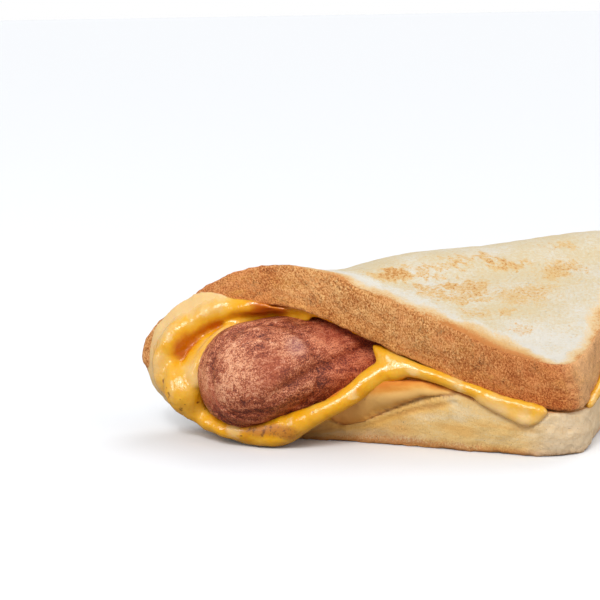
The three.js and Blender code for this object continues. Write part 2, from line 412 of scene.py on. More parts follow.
def blend(tree, factor, a, b, mode="MIX"):
    """Two colours mixed by a factor."""
    node = add(tree, "Mix", {0: factor, 6: a, 7: b}, data_type="RGBA", blend_type=mode)
    return node.outputs[2]


def tinge(tree, base, shade_on, *amounts, mode="MIX"):
    """A colour with another on it, as much as the product of the amounts."""
    return blend(tree, times(tree, *amounts), base, shade_on, mode)


def between(tree, value, low, high, to_low=0.0, to_high=1.0):
    """0 where the value is low and 1 where it is high, or as named; low may be the larger."""
    node = add(tree, "MapRange", {"Value": value, "From Min": low, "From Max": high,
                                  "To Min": to_low, "To Max": to_high},
               interpolation_type="SMOOTHSTEP")
    return node.outputs["Result"]


def cloud(tree, vector, size, detail=2.0, roughness=0.5, stretch=(1, 1, 1), offset=(0, 0, 0)):
    """A noise texture whose lumps are about size across, in metres."""
    scale = tuple(s / size for s in stretch)
    place_in = add(tree, "Mapping", {"Vector": vector, "Scale": scale, "Location": offset})
    texture = add(tree, "TexNoise", {"Vector": place_in.outputs[0], "Scale": 1.0,
                                     "Detail": detail, "Roughness": roughness})
    return texture.outputs["Fac"]


def ramp(tree, factor, *stops):
    """A colour ramp of (position, colour) stops."""
    node = add(tree, "ValToRGB", {"Fac": factor})
    elements = node.color_ramp.elements
    while len(elements) < len(stops):
        elements.new(0.5)
    for element, (position, stop_colour) in zip(elements, stops):
        element.position = position
        element.color = stop_colour
    return node.outputs["Color"]


def stirred(tree, vector, size, amount):
    """A place moved about by noise, for ragged outlines."""
    texture = add(tree, "TexNoise", {"Vector": vector, "Scale": 1 / size, "Detail": 3.0})
    offset = add(tree, "VectorMath", {0: texture.outputs["Color"], 1: (0.5, 0.5, 0.5)},
                 operation="SUBTRACT").outputs[0]
    return add(tree, "VectorMath", {0: offset, 1: (amount, amount, amount), 2: vector},
               operation="MULTIPLY_ADD").outputs[0]


def near_oval(tree, vector, centre, reach):
    """1 in the middle of an oval, down to 0 at its outline, at any height."""
    scale = (1 / reach[0], 1 / reach[1], 0)
    start = (-centre[0] / reach[0], -centre[1] / reach[1], 0)
    inside = add(tree, "Mapping", {"Vector": vector, "Scale": scale, "Location": start})
    away = add(tree, "VectorMath", {0: inside.outputs[0]}, operation="LENGTH").outputs["Value"]
    return between(tree, away, 1.0, 0.3)


def near_spot(tree, vector, centre, reach):
    """1 at the centre, down to 0 at reach from it."""
    away = add(tree, "VectorMath", {0: vector, 1: centre}, operation="DISTANCE")
    return between(tree, away.outputs["Value"], reach, 0.0)


def new_material(name):
    """(material, node tree, its Principled shader), the shader linked to the output."""
    material = bpy.data.materials.new(name)
    material.use_nodes = True
    tree = material.node_tree
    tree.nodes.clear()
    shader = add(tree, "BsdfPrincipled")
    output = add(tree, "OutputMaterial")
    tree.links.new(shader.outputs[0], output.inputs["Surface"])
    return material, tree, shader


def grain_group():
    """The fine grain of a baked or grilled surface: light and dark specks, small pits, and
    thin cracks."""
    name = "fine grain"
    if name in bpy.data.node_groups:
        return bpy.data.node_groups[name]
    group = bpy.data.node_groups.new(name, "ShaderNodeTree")
    sides = group.interface
    sides.new_socket("Place", in_out="INPUT", socket_type="NodeSocketVector")
    sides.new_socket("Size", in_out="INPUT", socket_type="NodeSocketFloat")
    for output in ("Specks", "Pits", "Cracks"):
        sides.new_socket(output, in_out="OUTPUT", socket_type="NodeSocketFloat")
    given = group.nodes.new("NodeGroupInput").outputs
    result = group.nodes.new("NodeGroupOutput").inputs
    scale = maths(group, "DIVIDE", 1.0, given["Size"])
    sized = add(group, "VectorMath", {0: given["Place"], 3: scale}, operation="SCALE").outputs[0]
    coarse = add(group, "TexNoise", {"Vector": sized, "Scale": 1.0, "Detail": 5.0,
                                     "Roughness": 0.78}).outputs["Fac"]
    cells = add(group, "TexVoronoi", {"Vector": sized, "Scale": 0.55}).outputs["Distance"]
    patches = add(group, "TexNoise", {"Vector": sized, "Scale": 0.12}).outputs["Fac"]
    group.links.new(coarse, result["Specks"])
    pits = times(group, between(group, cells, 0.20, 0.05), between(group, patches, 0.54, 0.66))
    group.links.new(pits, result["Pits"])
    veins = add(group, "TexNoise", {"Vector": sized, "Scale": 0.33, "Detail": 3.0}).outputs["Fac"]
    line = absolute(group, minus(group, veins, 0.5))
    few = add(group, "TexNoise", {"Vector": sized, "Scale": 0.16, "Detail": 1.0}).outputs["Fac"]
    cracks = times(group, between(group, line, 0.016, 0.004), between(group, few, 0.56, 0.62))
    group.links.new(cracks, result["Cracks"])
    return group


def grain(tree, vector, size):
    """(specks, pits, cracks) of the fine grain."""
    node = add(tree, "Group", node_tree=grain_group())
    plug_all(tree, node, {"Place": vector, "Size": size})
    return node.outputs["Specks"], node.outputs["Pits"], node.outputs["Cracks"]


def raise_surface(tree, shader, height, strength, distance):
    """Fine relief in the shading, from a height."""
    relief = add(tree, "Bump", {"Height": height, "Strength": strength, "Distance": distance})
    tree.links.new(relief.outputs[0], shader.inputs["Normal"])


# ------------------------------------------------------------------ bread

BREAD_CUTS = 185
BREAD_LAYERS = 27
CLOSER_AT_CRUST = 0.6           # how far the cuts crowd together towards the crust
CLOSER_AT_FACES = 0.35          # and towards the slice's two faces

ARRIS = 1.0 * MM                # rounding where crust and crumb meet
CRUST_BULGE = 0.7 * MM
CRUST_GRAIN = Relief(0.9 * MM, seed=3)
CRUST_LUMPS = Relief(4.5 * MM, seed=5, octaves=3)
CRUST_WAVES = Relief(15 * MM, seed=21)
CRUST_ENDS = (0.2 * MM, 1.6 * MM)           # inland, where its relief gives way to the crumb's
CRUMB_SWELLS = Relief(19 * MM, seed=7)
CRUMB_DIMPLES = Relief(4 * MM, seed=9, octaves=3)
RAGGED_ARRIS = Relief(2.6 * MM, seed=11, octaves=3)
RAGGED_WIDTH = 1.5 * MM
SUNKEN_CRUMB = {"depth": 0.35 * MM, "lip": 2.0 * MM, "lip_width": 1.6 * MM}
RIDGE_DENT = {"depth": 3 * MM, "at": (-38 * MM, 27 * MM), "size": (15 * MM, 13 * MM)}
RIDGE_SWELL = {"height": 1.6 * MM, "at": (42 * MM, 32 * MM), "size": (26 * MM, 22 * MM)}
SQUEEZE = {"push": 5 * MM, "q": -38 * MM, "inland": 14 * MM, "width": 10 * MM}
SQUEEZED_DEPTH = (0.16, 0.46)   # full above the first, none below the second

# the roll of crumb that the sausage pushes out over the lower crust: it lies between two
# places along q, tallest between two more; below it runs a crease, then a raised band and a
# groove; depth is 0 at the slice's inner face and 1 at its outer one
ROLL_FROM = -34 * MM
ROLL_TALLEST = (-43 * MM, -45.5 * MM)
ROLL_TO = -63 * MM
ROLL_DEPTH = 0.53
ROLL_MIDDLE = 0.42              # where it stands out furthest, as a share of the crease's depth
ROLL_INLAND = 9 * MM
CREASE = {"below": 0.03, "width": 0.035, "in": 1.7 * MM, "waver": 0.06, "wave": 5 * MM}
BAND = {"below": 0.06, "width": 0.04, "out": 0.45 * MM, "q": -57 * MM, "reach": 11 * MM}
GROOVE = {"below": 0.15, "width": 0.04, "in": 0.45 * MM}
# the golden strip below the crease is partly painted shade under the roll, and the groove's line is
# painted shade
GOLDEN_STRIP = 0.34             # how far the golden crust reaches below the crease
GOLDEN_REACH = 1.7 * BAND["reach"]          # along q
GROOVE_SHADE = 1.2              # of the line in the groove, where the strip's is 1

# toasted patches of the upper flap: (p, q, reach along p, reach along q) in millimetres, and
# how strong the patch is
TOASTED = (
    ((-30.0, 39.5, 11.0, 3.6), 1.2), ((-20.0, 40.5, 8.0, 2.4), 0.62), ((-8.0, 38.5, 15.0, 2.0), 0.45),
    ((0.0, 38.2, 6.0, 1.8), 0.8), ((4.5, 41.0, 9.0, 1.9), 0.85), ((-16.5, 45.5, 5.5, 1.8), 0.9),
    ((-25.0, 47.0, 9.0, 3.2), 0.7), ((-18.0, 49.5, 7.0, 2.4), 0.7), ((-10.0, 47.5, 9.0, 3.6), 0.75),
    ((-12.0, 51.5, 10.0, 1.3), 0.7), ((4.0, 51.5, 13.0, 5.0), 0.55), ((19.0, 45.0, 10.0, 3.6), 0.65),
    ((-14.0, 56.5, 6.0, 2.8), 0.45), ((-5.0, 57.0, 4.0, 2.0), 0.5), ((-3.0, 64.0, 6.0, 2.4), 0.45),
    ((25.0, 38.0, 6.0, 1.8), 0.5), ((-10.0, 40.0, 3.0, 1.0), 0.8),
)

# ovals of the upper flap, (middle, reach): where only the marked patches are toasted, and
# where the golden border is wider
TOASTED_ZONE = ((2 * MM, 50 * MM), (66 * MM, 30 * MM))
WIDE_BORDER = ((-14 * MM, 68 * MM), (20 * MM, 15 * MM))

# the crust's corner that stands out beside the cheese at the left end
FLARE = {"push": 2.5 * MM, "q": 1.5 * MM, "width": 7 * MM, "inland": 7 * MM,
         "depth": (0.35, 1.0)}

# where the face's colours change, inland from the crust or along q
FACE_INLAND = (0.1 * MM, 0.7 * MM)
CREAM_INLAND = (4.5 * MM, 9 * MM)
TOASTED_INLAND = (6 * MM, 10 * MM)
WHITE_CORNER = (54 * MM, 68 * MM)
BORDER_GOLD = (-1 * MM, 4 * MM)
BORDER_ENDS = (2.2 * MM, 4.6 * MM)

# where the crust's colours change, along p or q, or in height from the middle of the slice
# towards its outer face
BROWNER_P = (-32 * MM, -12 * MM)
ORANGE_P = (-50 * MM, -62 * MM)
ORANGE_Q = (4 * MM, 14 * MM)
GOLDEN_HEIGHT = (0.5 * MM, -5 * MM)
DARK_HEIGHT = (-4.4 * MM, -5.6 * MM)
UNDER_CHEESE_Q = (-60 * MM, -42 * MM)
SCORCHED_HEIGHT = (3.2 * MM, 5.0 * MM)
UPPER_CRUST_Q = (-14 * MM, -2 * MM)
UPPER_RELIEF_Q = (-10 * MM, -2 * MM)
# the roll's painted shade where it comes out of the cheese, along q
ROLL_SHADE_Q = (-50 * MM, -42 * MM)
LOOSE_CORNERS = (54 * MM, 72 * MM)
LIGHTER_P = (-4 * MM, 1 * MM)
FLOUR_P = (-7 * MM, 4 * MM)


def squeezed(p, q):
    """Where a point of the lower flap's inner face goes when the sausage squeezes the crumb
    out beside it, still on the flat slice."""
    along, across = outline_normal(q, math.copysign(1, p))
    inland = slice_reach(q) - abs(p)
    push = SQUEEZE["push"] * bump(inland, 0, SQUEEZE["inland"])
    push *= bump(q, SQUEEZE["q"], SQUEEZE["width"])
    return p + along * push, q + across * push


def ridge_relief(p, q):
    """How far the folded top is swollen or dented."""
    dent = RIDGE_DENT["depth"] * soft_bump(p, q, RIDGE_DENT["at"], RIDGE_DENT["size"])
    swell = RIDGE_SWELL["height"] * soft_bump(p, q, RIDGE_SWELL["at"], RIDGE_SWELL["size"])
    return swell - dent


def slab_point(p, q, depth):
    """A point of the folded slice, before the crumb is squeezed: depth is 0 on its inner face
    and 1 on its outer one."""
    inner_v, inner_z, _ = lining_point(q)
    outer_v, outer_z = outer_point(q, CRUMB + (ridge_relief(p, q) if q > 0 else 0))
    return place(p, lerp(inner_v, outer_v, depth), lerp(inner_z, outer_z, depth))


def bread_point(p, q, depth):
    """The same with the inner face squeezed out beside the sausage."""
    point = slab_point(p, q, depth)
    if q < 0:
        roll_p, roll_q = squeezed(p, q)
        roll_v, roll_z, _ = lining_point(roll_q)
        inner_v, inner_z, _ = lining_point(q)
        push = place(roll_p, roll_v, roll_z) - place(p, inner_v, inner_z)
        point += push * (1 - ease(depth, *SQUEEZED_DEPTH))
    return point


def roll_crease(q):
    """How far down the lower crust the roll's crease runs, as a share of its height."""
    tallest, falls = ROLL_TALLEST
    return ROLL_DEPTH * ease(q, ROLL_FROM, tallest) * clamp((q - ROLL_TO) / (falls - ROLL_TO))


def rolled_crumb(look, p, q, depth, inland):
    """How far the crust's face stands out in the roll of crumb, or in under its crease."""
    low = roll_crease(q) * (1 + CREASE["waver"] * math.sin(p / CREASE["wave"]))
    if low < 0.01 or inland > 3 * ROLL_INLAND:
        return 0
    from_middle = (depth - ROLL_MIDDLE * low) / ((1 - ROLL_MIDDLE) * low)
    roll = look.roll_bulge * ease(low, 0, 0.4) * math.sqrt(max(1 - from_middle ** 2, 0))
    pinch = CREASE["in"] * ease(low, 0, 0.2) * bump(depth, low + CREASE["below"], CREASE["width"])
    beside = bump(q, BAND["q"], BAND["reach"])
    band = BAND["out"] * bump(depth, low + BAND["below"], BAND["width"])
    groove = GROOVE["in"] * bump(depth, low + GROOVE["below"], GROOVE["width"])
    return (roll - pinch + beside * (band - groove)) * bump(max(inland, 0), 0, ROLL_INLAND)


def roll_rise(look, q, depth, inland):
    """How far the roll of crumb rises."""
    tall = roll_crease(q) / ROLL_DEPTH if q < 0 else 0
    beside = bump(max(inland, 0), 0, ROLL_INLAND)
    return look.roll_lift * tall ** 0.5 * beside * (1 - ease(depth, 0, 0.4))


def roll_marks(q, depth):
    """What the colours need of the roll: how much a point is in it, how far down it the point lies,
    and how much the point is in the golden strip or the groove below, where painted shade goes."""
    low = roll_crease(q) if q < 0 else 0
    rolled = ease(depth, low + 0.05, low - 0.02) * ease(low, 0.01, 0.08)
    down = min(depth / max(low, 0.05), 2)
    strip = ease(depth, low + GOLDEN_STRIP, low + 0.5 * GOLDEN_STRIP) * ease(depth, low, low + 0.05)
    line = GROOVE_SHADE * bump(depth, low + GROOVE["below"], GROOVE["width"])
    golden = (strip + line) * bump(q, BAND["q"], GOLDEN_REACH) * ease(low, 0.02, 0.10)
    return rolled, down, golden


def flared(p, q, depth, inland):
    """How far the crust's corner at the left end stands out."""
    if p > 0:
        return 0
    push = FLARE["push"] * bump(q, FLARE["q"], FLARE["width"]) * ease(depth, *FLARE["depth"])
    return push * bump(inland, 0, FLARE["inland"])


def rounded_square(a, b):
    """A square's point moved onto the slice, whose corners are round."""
    core = SLICE_SIDE / 2 - (TIGHT_CORNER if a > 0 and b > 0 else SLICE_CORNER)
    in_a = clamp(a, -core, core)
    in_b = clamp(b, -core, core)
    square = max(abs(a - in_a), abs(b - in_b))
    shrink = square / (math.hypot(a - in_a, b - in_b) or 1)
    return in_a + (a - in_a) * shrink, in_b + (b - in_b) * shrink


def rounded_arris(inland, height):
    """The same for the slab's long edges: inland from the crust, height from its middle."""
    u = max(ARRIS - inland, 0)
    w = max(abs(height) - (CRUMB / 2 - ARRIS), 0)
    if u == 0 or w == 0:
        return inland, height
    shrink = max(u, w) / math.hypot(u, w)
    return ARRIS - u * shrink, math.copysign(CRUMB / 2 - ARRIS + w * shrink, height)


def on_flat_slice(cube_point):
    """Where a point of the unit cube lies on the flat slice: p, q, height from its middle, how
    far inland it is once the arrises are round, and how far inland it was before."""
    half = SLICE_SIDE / 2
    a = half * dense_at_ends(2 * cube_point.x, CLOSER_AT_CRUST)
    b = half * dense_at_ends(2 * cube_point.y, CLOSER_AT_CRUST)
    height = -CRUMB / 2 * dense_at_ends(2 * cube_point.z, CLOSER_AT_FACES)
    square_inland = half - max(abs(a), abs(b))
    inland, round_height = rounded_arris(square_inland, height)
    inward = (half - inland) / max(half - square_inland, SMALL)
    round_a, round_b = rounded_square(a, b)
    p = (round_a - round_b) / math.sqrt(2) * inward
    q = (round_a + round_b) / math.sqrt(2) * inward
    return p, q, round_height, inland, square_inland


def bread_relief(look, spot, inland):
    """How far the bread's surface stands out or in, at a spot of the flat slice."""
    crumb = look.crumb_swells * CRUMB_SWELLS.at(spot) + look.crumb_dimples * CRUMB_DIMPLES.at(spot)
    crust = look.crust_grain * CRUST_GRAIN.at(spot) + look.crust_lumps * CRUST_LUMPS.at(spot)
    on_crust = 1 - ease(inland, *CRUST_ENDS)
    lip = bump(inland, SUNKEN_CRUMB["lip"], SUNKEN_CRUMB["lip_width"])
    sunken = SUNKEN_CRUMB["depth"] * (lip - 1) * (1 - on_crust)
    ragged = look.ragged_arris * RAGGED_ARRIS.at(spot) * bump(inland, 0, RAGGED_WIDTH)
    return lerp(crumb, crust, on_crust) + sunken + ragged


def make_bread_mesh(look):
    """The slice as a grid, folded, with its roll of crumb and its relief."""
    bm = bmesh.new()
    box_grid(bm, BREAD_CUTS, BREAD_CUTS, BREAD_LAYERS)
    on_slice = bm.verts.layers.float_vector.new("slice")
    from_crust = bm.verts.layers.float.new("inland")
    in_roll = bm.verts.layers.float.new("rolled")
    in_groove = bm.verts.layers.float.new("groove")
    down_roll = bm.verts.layers.float.new("down the roll")
    for vert in bm.verts:
        p, q, height, inland, square_inland = on_flat_slice(vert.co)
        spot = Vector((p, q, height))
        depth = 0.5 + height / CRUMB
        stand = flared(p, q, depth, inland) + rolled_crumb(look, p, q, depth, inland)
        if square_inland < SMALL:
            stand += CRUST_BULGE * math.sin(math.pi * depth) + look.crust_waves * CRUST_WAVES.at(spot)
        vert.co = bread_point(p, q, depth) + outwards(q, math.copysign(1, p)) * stand
        vert.co.z += roll_rise(look, q, depth, inland)
        vert[in_roll], vert[down_roll], vert[in_groove] = roll_marks(q, depth)
        vert[on_slice] = spot
        vert[from_crust] = square_inland
    bmesh.ops.recalc_face_normals(bm, faces=bm.faces)
    bm.normal_update()
    for vert in bm.verts:
        vert.co += vert.normal * bread_relief(look, vert[on_slice], vert[from_crust])
        vert.co.z = max(vert.co.z, 0.0)
    return bm


def toasted_patches(tree, spot):
    """How toasted the crumb is, 0 to 1: marked patches on the upper flap, noise elsewhere."""
    ragged = stirred(tree, spot, 3 * MM, 10 * MM)
    patch = 0.0
    for marks, strength in TOASTED:
        p, q, reach_p, reach_q = (mark * MM for mark in marks)
        oval = times(tree, near_oval(tree, ragged, (p, q), (reach_p, reach_q)), strength)
        patch = greater(tree, patch, oval)
    chance = cloud(tree, ragged, 12 * MM, 2, stretch=(0.6, 1, 1), offset=(0.7, 2.2, 0))
    elsewhere = times(tree, between(tree, chance, 0.5, 0.64, 0.0, 0.85),
                      between(tree, near_oval(tree, spot, *TOASTED_ZONE), 0.3, 0.0))
    return greater(tree, patch, elsewhere)


def crumb_colour(tree, look, spot, inland):
    """White crumb with cream clouds, toasted patches and specks."""
    p, q, _ = parts_of(tree, spot)
    _, pits, _ = grain(tree, spot, 0.6 * MM)
    fine = cloud(tree, spot, 0.6 * MM, 3, 0.85, stretch=(0.6, 1, 1))
    ragged = wobble(tree, inland, (cloud(tree, spot, 6 * MM, 4, 0.6), 6 * MM))
    ragged = plus(tree, ragged, between(tree, p, 0.0, 8 * MM, 0.0, 4 * MM))
    # cream, but whiter along the crust and at the loose corner
    soft = wobble(tree, 0.3, (cloud(tree, spot, 9 * MM, 5, 0.65, stretch=(0.5, 1, 1)), 0.9))
    soft = plus(tree, soft, between(tree, ragged, *CREAM_INLAND, 0.0, 0.3))
    soft = minus(tree, soft, between(tree, q, *WHITE_CORNER, 0.0, 0.16))
    crumb = ramp(tree, wobble(tree, soft, (fine, 0.8)), (0.36, look.crumb_colour),
                 (0.66, look.cream_colour))
    # each patch is warm, toasted further in, and has burnt specks
    zone = between(tree, ragged, *TOASTED_INLAND)
    patch = times(tree, toasted_patches(tree, spot), zone)
    warm = between(tree, wobble(tree, patch, (fine, 1.8), (soft, 0.8)), 0.0, 0.8)
    crumb = tinge(tree, crumb, look.warm_colour, warm, 0.9)
    toast = between(tree, wobble(tree, times(tree, patch, 0.26), (fine, 1.2)), 0.16, 0.34)
    crumb = tinge(tree, crumb, look.toast_colour, toast, zone, 0.85)
    burnt = between(tree, wobble(tree, times(tree, patch, 0.2), (fine, 1.2)), 0.27, 0.34)
    crumb = tinge(tree, crumb, look.speck_colour, burnt, zone, 0.7)
    return tinge(tree, crumb, look.toast_colour, pits, 0.3)


def border_colour(tree, look, spot, inland, crumb):
    """The golden edge of the crumb, irregular, along the crust."""
    specks, _, _ = grain(tree, spot, 0.6 * MM)
    wide = near_oval(tree, spot, *WIDE_BORDER)
    edge = wobble(tree, inland, (cloud(tree, spot, 7 * MM, 4, 0.65), 8 * MM), (specks, 5 * MM))
    edge = minus(tree, edge, times(tree, wide, 3.2 * MM))
    gold = ramp(tree, between(tree, edge, *BORDER_GOLD), (0.1, look.border_gold),
                (0.8, look.border_pale))
    crumb = blend(tree, between(tree, edge, *BORDER_ENDS), gold, crumb)
    line = between(tree, wobble(tree, edge, (specks, 4 * MM)), 1.8 * MM, -0.8 * MM)
    near = between(tree, wobble(tree, inland, (specks, 4 * MM)), 3.4 * MM, 1.0 * MM)
    return tinge(tree, crumb, look.border_dark, line, near, 0.85)


def upper_crust(tree, look, spot, mottle, specks):
    """Brown, with orange patches."""
    p, q, height = parts_of(tree, spot)
    dents = cloud(tree, spot, 2.2 * MM, 4, 0.65, stretch=(0.7, 0.7, 1))
    tone = wobble(tree, 0.52, (mottle, 0.6), (dents, 0.6), (specks, 2.8))
    brown = ramp(tree, tone, (0.2, look.crust_dark), (0.5, look.crust_colour),
                 (0.8, look.crust_light))
    orange = between(tree, wobble(tree, mottle, (specks, 0.4)), 0.52, 0.62)
    brown = tinge(tree, brown, look.crust_orange, orange, 0.22, mode="MULTIPLY")
    # browner towards the loose corner, and orange at the left end
    browner = between(tree, wobble(tree, p, (mottle, 30 * MM)), *BROWNER_P)
    brown = tinge(tree, brown, look.crust_brown, browner, 0.8, mode="MULTIPLY")
    left = between(tree, wobble(tree, p, (mottle, 16 * MM)), *ORANGE_P)
    above_fold = between(tree, q, *ORANGE_Q)
    brown = tinge(tree, brown, look.crust_orange, left, above_fold, 0.35, mode="MULTIPLY")
    # golden lower down, with a dark lower arris
    golden = between(tree, wobble(tree, height, (mottle, 6 * MM)), *GOLDEN_HEIGHT)
    brown = tinge(tree, brown, look.crust_golden, golden, 0.6, mode="MULTIPLY")
    arris = wobble(tree, height, (mottle, 3 * MM), (specks, 5 * MM))
    return tinge(tree, brown, look.crust_dark, between(tree, arris, *DARK_HEIGHT), 0.6)


def lower_crust(tree, look, spot, mottle, specks):
    """Pale gold and streaked, golden and partly painted shade where it comes out of the cheese, and
    scorched along its lower arris.
    """
    _, q, height = parts_of(tree, spot)
    streaks = cloud(tree, spot, 2.6 * MM, 4, 0.7, stretch=(0.2, 0.2, 1.5))
    bands = cloud(tree, spot, 9 * MM, 2, 0.5, stretch=(0.35, 0.35, 2.2))
    pale = ramp(tree, wobble(tree, bands, (specks, 0.5), (streaks, 0.9)),
                (0.25, look.under_dark), (0.5, look.under_colour), (0.72, look.under_light))
    # golden, and partly painted shade, where the crust comes out of the cheese
    golden = between(tree, wobble(tree, q, (mottle, 12 * MM)), *UNDER_CHEESE_Q)
    pale = tinge(tree, pale, look.under_golden_and_shade, golden, 0.8, mode="MULTIPLY")
    scorched = between(tree, wobble(tree, height, (specks, 7 * MM)), *SCORCHED_HEIGHT)
    return tinge(tree, pale, look.crust_orange, scorched, 0.8)


def crust_colour(tree, look, spot):
    """Brown on the upper flap and pale gold on the lower one, floury at the loose corners."""
    p, q, _ = parts_of(tree, spot)
    specks, pits, cracks = grain(tree, spot, 0.4 * MM)
    mottle = cloud(tree, spot, 8 * MM, 3, 0.6)
    on_upper = between(tree, wobble(tree, q, (mottle, 6 * MM)), *UPPER_CRUST_Q)
    crust = blend(tree, on_upper, lower_crust(tree, look, spot, mottle, specks),
                  upper_crust(tree, look, spot, mottle, specks))
    # lighter at the loose corners, and floury beyond them
    shifted = plus(tree, p, between(tree, on_upper, 0.0, 1.0, 6 * MM, -3 * MM))
    past_corner = wobble(tree, shifted, (mottle, 8 * MM))
    far = between(tree, absolute(tree, q), *LOOSE_CORNERS)
    lighter = between(tree, past_corner, *LIGHTER_P)
    crust = tinge(tree, crust, look.crust_light, lighter, far, on_upper, 0.45)
    flour = between(tree, past_corner, *FLOUR_P)
    patchy = between(tree, specks, 0.3, 0.62, 0.5, 1.0)
    much = between(tree, on_upper, 1.0, 0.0, 0.12, 0.95)
    crust = tinge(tree, crust, look.flour_colour, flour, far, patchy, much)
    # the cracks show on the upper crust
    few = times(tree, cracks, between(tree, on_upper, 0.0, 1.0, 0.1, 0.7))
    return blend(tree, greater(tree, times(tree, pits, 0.7), few), crust, look.pit_colour)


def roll_colour(tree, look, spot, along):
    """The smooth tan crumb of the roll, with a painted highlight along its crest, and painted shade
    at its top and where it comes out of the cheese, under the strand."""
    _, q, _ = parts_of(tree, spot)
    tan = ramp(tree, along, (0.35, look.roll_dark), (0.6, look.roll_light))
    down = wobble(tree, attribute(tree, "down the roll"), (along, 0.4))
    # painted highlight along the roll's crest
    crest = times(tree, between(tree, down, 0.3, 0.6), between(tree, down, 1.0, 0.8))
    tan = tinge(tree, tan, look.roll_highlight_colour, crest, 0.7)
    # painted shade at the roll's top and where it comes out of the cheese, under the strand
    deeper = between(tree, wobble(tree, q, (along, 6 * MM)), *ROLL_SHADE_Q, 0.0, 0.4)
    deeper = greater(tree, deeper, between(tree, down, 0.42, 0.1, 0.0, 0.8))
    return tinge(tree, tan, look.roll_shaded, deeper, mode="MULTIPLY")


def below_roll_colour(tree, look, spot, along, on_face, base):
    """The crust below the roll's crease: a golden strip that is partly painted shade under the roll,
    and a line of painted shade along the groove.
    """
    on_crust = between(tree, on_face, 0.5, 0.0)
    broken = cloud(tree, spot, 1.2 * MM, 4, 0.7)
    uneven = wobble(tree, attribute(tree, "groove"), (along, 1.4), (broken, 1.2))
    strip = between(tree, uneven, -0.1, 1.3)
    # golden crust, partly painted shade under the roll
    base = tinge(tree, base, look.strip_and_shade_colour, strip, on_crust, 0.75)
    # painted shade along the groove
    line = between(tree, uneven, 0.9, 2.2)
    return tinge(tree, base, look.groove_shade_colour, line, on_crust, 0.5)


def bread_height(tree, spot, on_face, rolled):
    """The fine relief: strong on the upper crust, weak on the crumb and the roll."""
    _, q, _ = parts_of(tree, spot)
    specks, pits, cracks = grain(tree, spot, 0.55 * MM)
    cracks = times(tree, cracks, between(tree, on_face, 0.5, 0.0),
                   between(tree, q, *UPPER_RELIEF_Q, 0.1, 1.0))
    dents = cloud(tree, spot, 2.2 * MM, 4, 0.65, stretch=(0.7, 0.7, 1))
    dents = times(tree, dents, between(tree, q, *UPPER_RELIEF_Q, 0.4, 2.4))
    height = plus(tree, minus(tree, specks, plus(tree, pits, cracks)), dents)
    rough = times(tree, between(tree, rolled, 1.0, 0.0, 0.2), between(tree, on_face, 1.0, 0.0, 0.85))
    return times(tree, height, rough)


def bread_material(look):
    """Toast bread: crumb on the faces, crust on the edge, and the roll between them."""
    material, tree, shader = new_material("toast bread")
    spot = attribute(tree, "slice", "Vector")
    inland = attribute(tree, "inland")
    rolled = attribute(tree, "rolled")
    along = cloud(tree, spot, 4 * MM, 4, 0.6, stretch=(0.3, 0.3, 1.3))
    on_face = between(tree, inland, *FACE_INLAND)
    face = border_colour(tree, look, spot, inland, crumb_colour(tree, look, spot, inland))
    base = blend(tree, on_face, crust_colour(tree, look, spot), face)
    base = blend(tree, rolled, base, roll_colour(tree, look, spot, along))
    base = below_roll_colour(tree, look, spot, along, on_face, base)
    # painted shade along the roll's crease
    crease_shade = between(tree, absolute(tree, minus(tree, rolled, 0.5)), 0.5, 0.1)
    base = tinge(tree, base, look.crease_shade_colour, crease_shade, 0.5)
    plug_all(tree, shader, {"Base Color": base, "Roughness": 0.8, "Specular IOR Level": 0.3})
    raise_surface(tree, shader, bread_height(tree, spot, on_face, rolled), 0.9, 0.6 * MM)
    return material


# ------------------------------------------------------------------ sausage

SAUSAGE_RINGS = 320
SAUSAGE_SIDES = 170
CAP_SHARE = 0.16                # of the rings, at each end
TIP_SHORTER = 0.7 * MM
DROOP_FROM = (50 * MM, 76 * MM)
SKIN_LUMPS = Relief(9 * MM, seed=33)
FINE_LUMPS = Relief(2 * MM, seed=41, octaves=2)

# the folds of the skin: they run along the body and circle a point behind each tip
SKIN_WARP = Relief(10 * MM, seed=37)
WARP = 2.6 * MM
BODY_FOLDS = Relief(6.5 * MM, seed=31, octaves=2)
BODY_STRETCH = 4.5              # how much longer than wide they are
BODY_WIDTH = 0.26               # of the noise's height
BODY_SHARE = 0.6                # how deep they are beside those at the tip
TIP_FOLDS = Relief(4.6 * MM, seed=35, octaves=2)
TIP_STRETCH = 3.2
TIP_CLOSER = 1.5                # how much closer together
TIP_WIDTH = 0.24
TIP_FOLDS_FROM = (9 * MM, 22 * MM)          # full nearer the tip, none further
FOLDED_PLACES = Relief(12 * MM, seed=39)
SMOOTH_SHARE = 0.3              # how deep they are in the smoothest places
FOLD_CENTRE = Vector((66 * MM, 12 * MM, 21 * MM))      # x, v, z
TIP_CREASE = {"ring": 14.5 * MM, "width": 1.0 * MM, "depth": 0.55 * MM, "v + z": (17 * MM, 23 * MM)}

# one long crease along the front: how far from the tip it starts and ends, and the degrees
# above the axis's height there; the skin is swollen above and below it, (place, width)
LONG_CREASE = {"from_tip": (14 * MM, 46 * MM), "turn": (-8, 34), "width": 1.3 * MM,
               "depth": 0.75 * MM, "fades_in": (10 * MM, 17 * MM), "fades_out": (50 * MM, 40 * MM)}
SWOLLEN = {"height": 0.5 * MM, "above": (3.6 * MM, 2.6 * MM), "below": (-3.8 * MM, 2.8 * MM)}

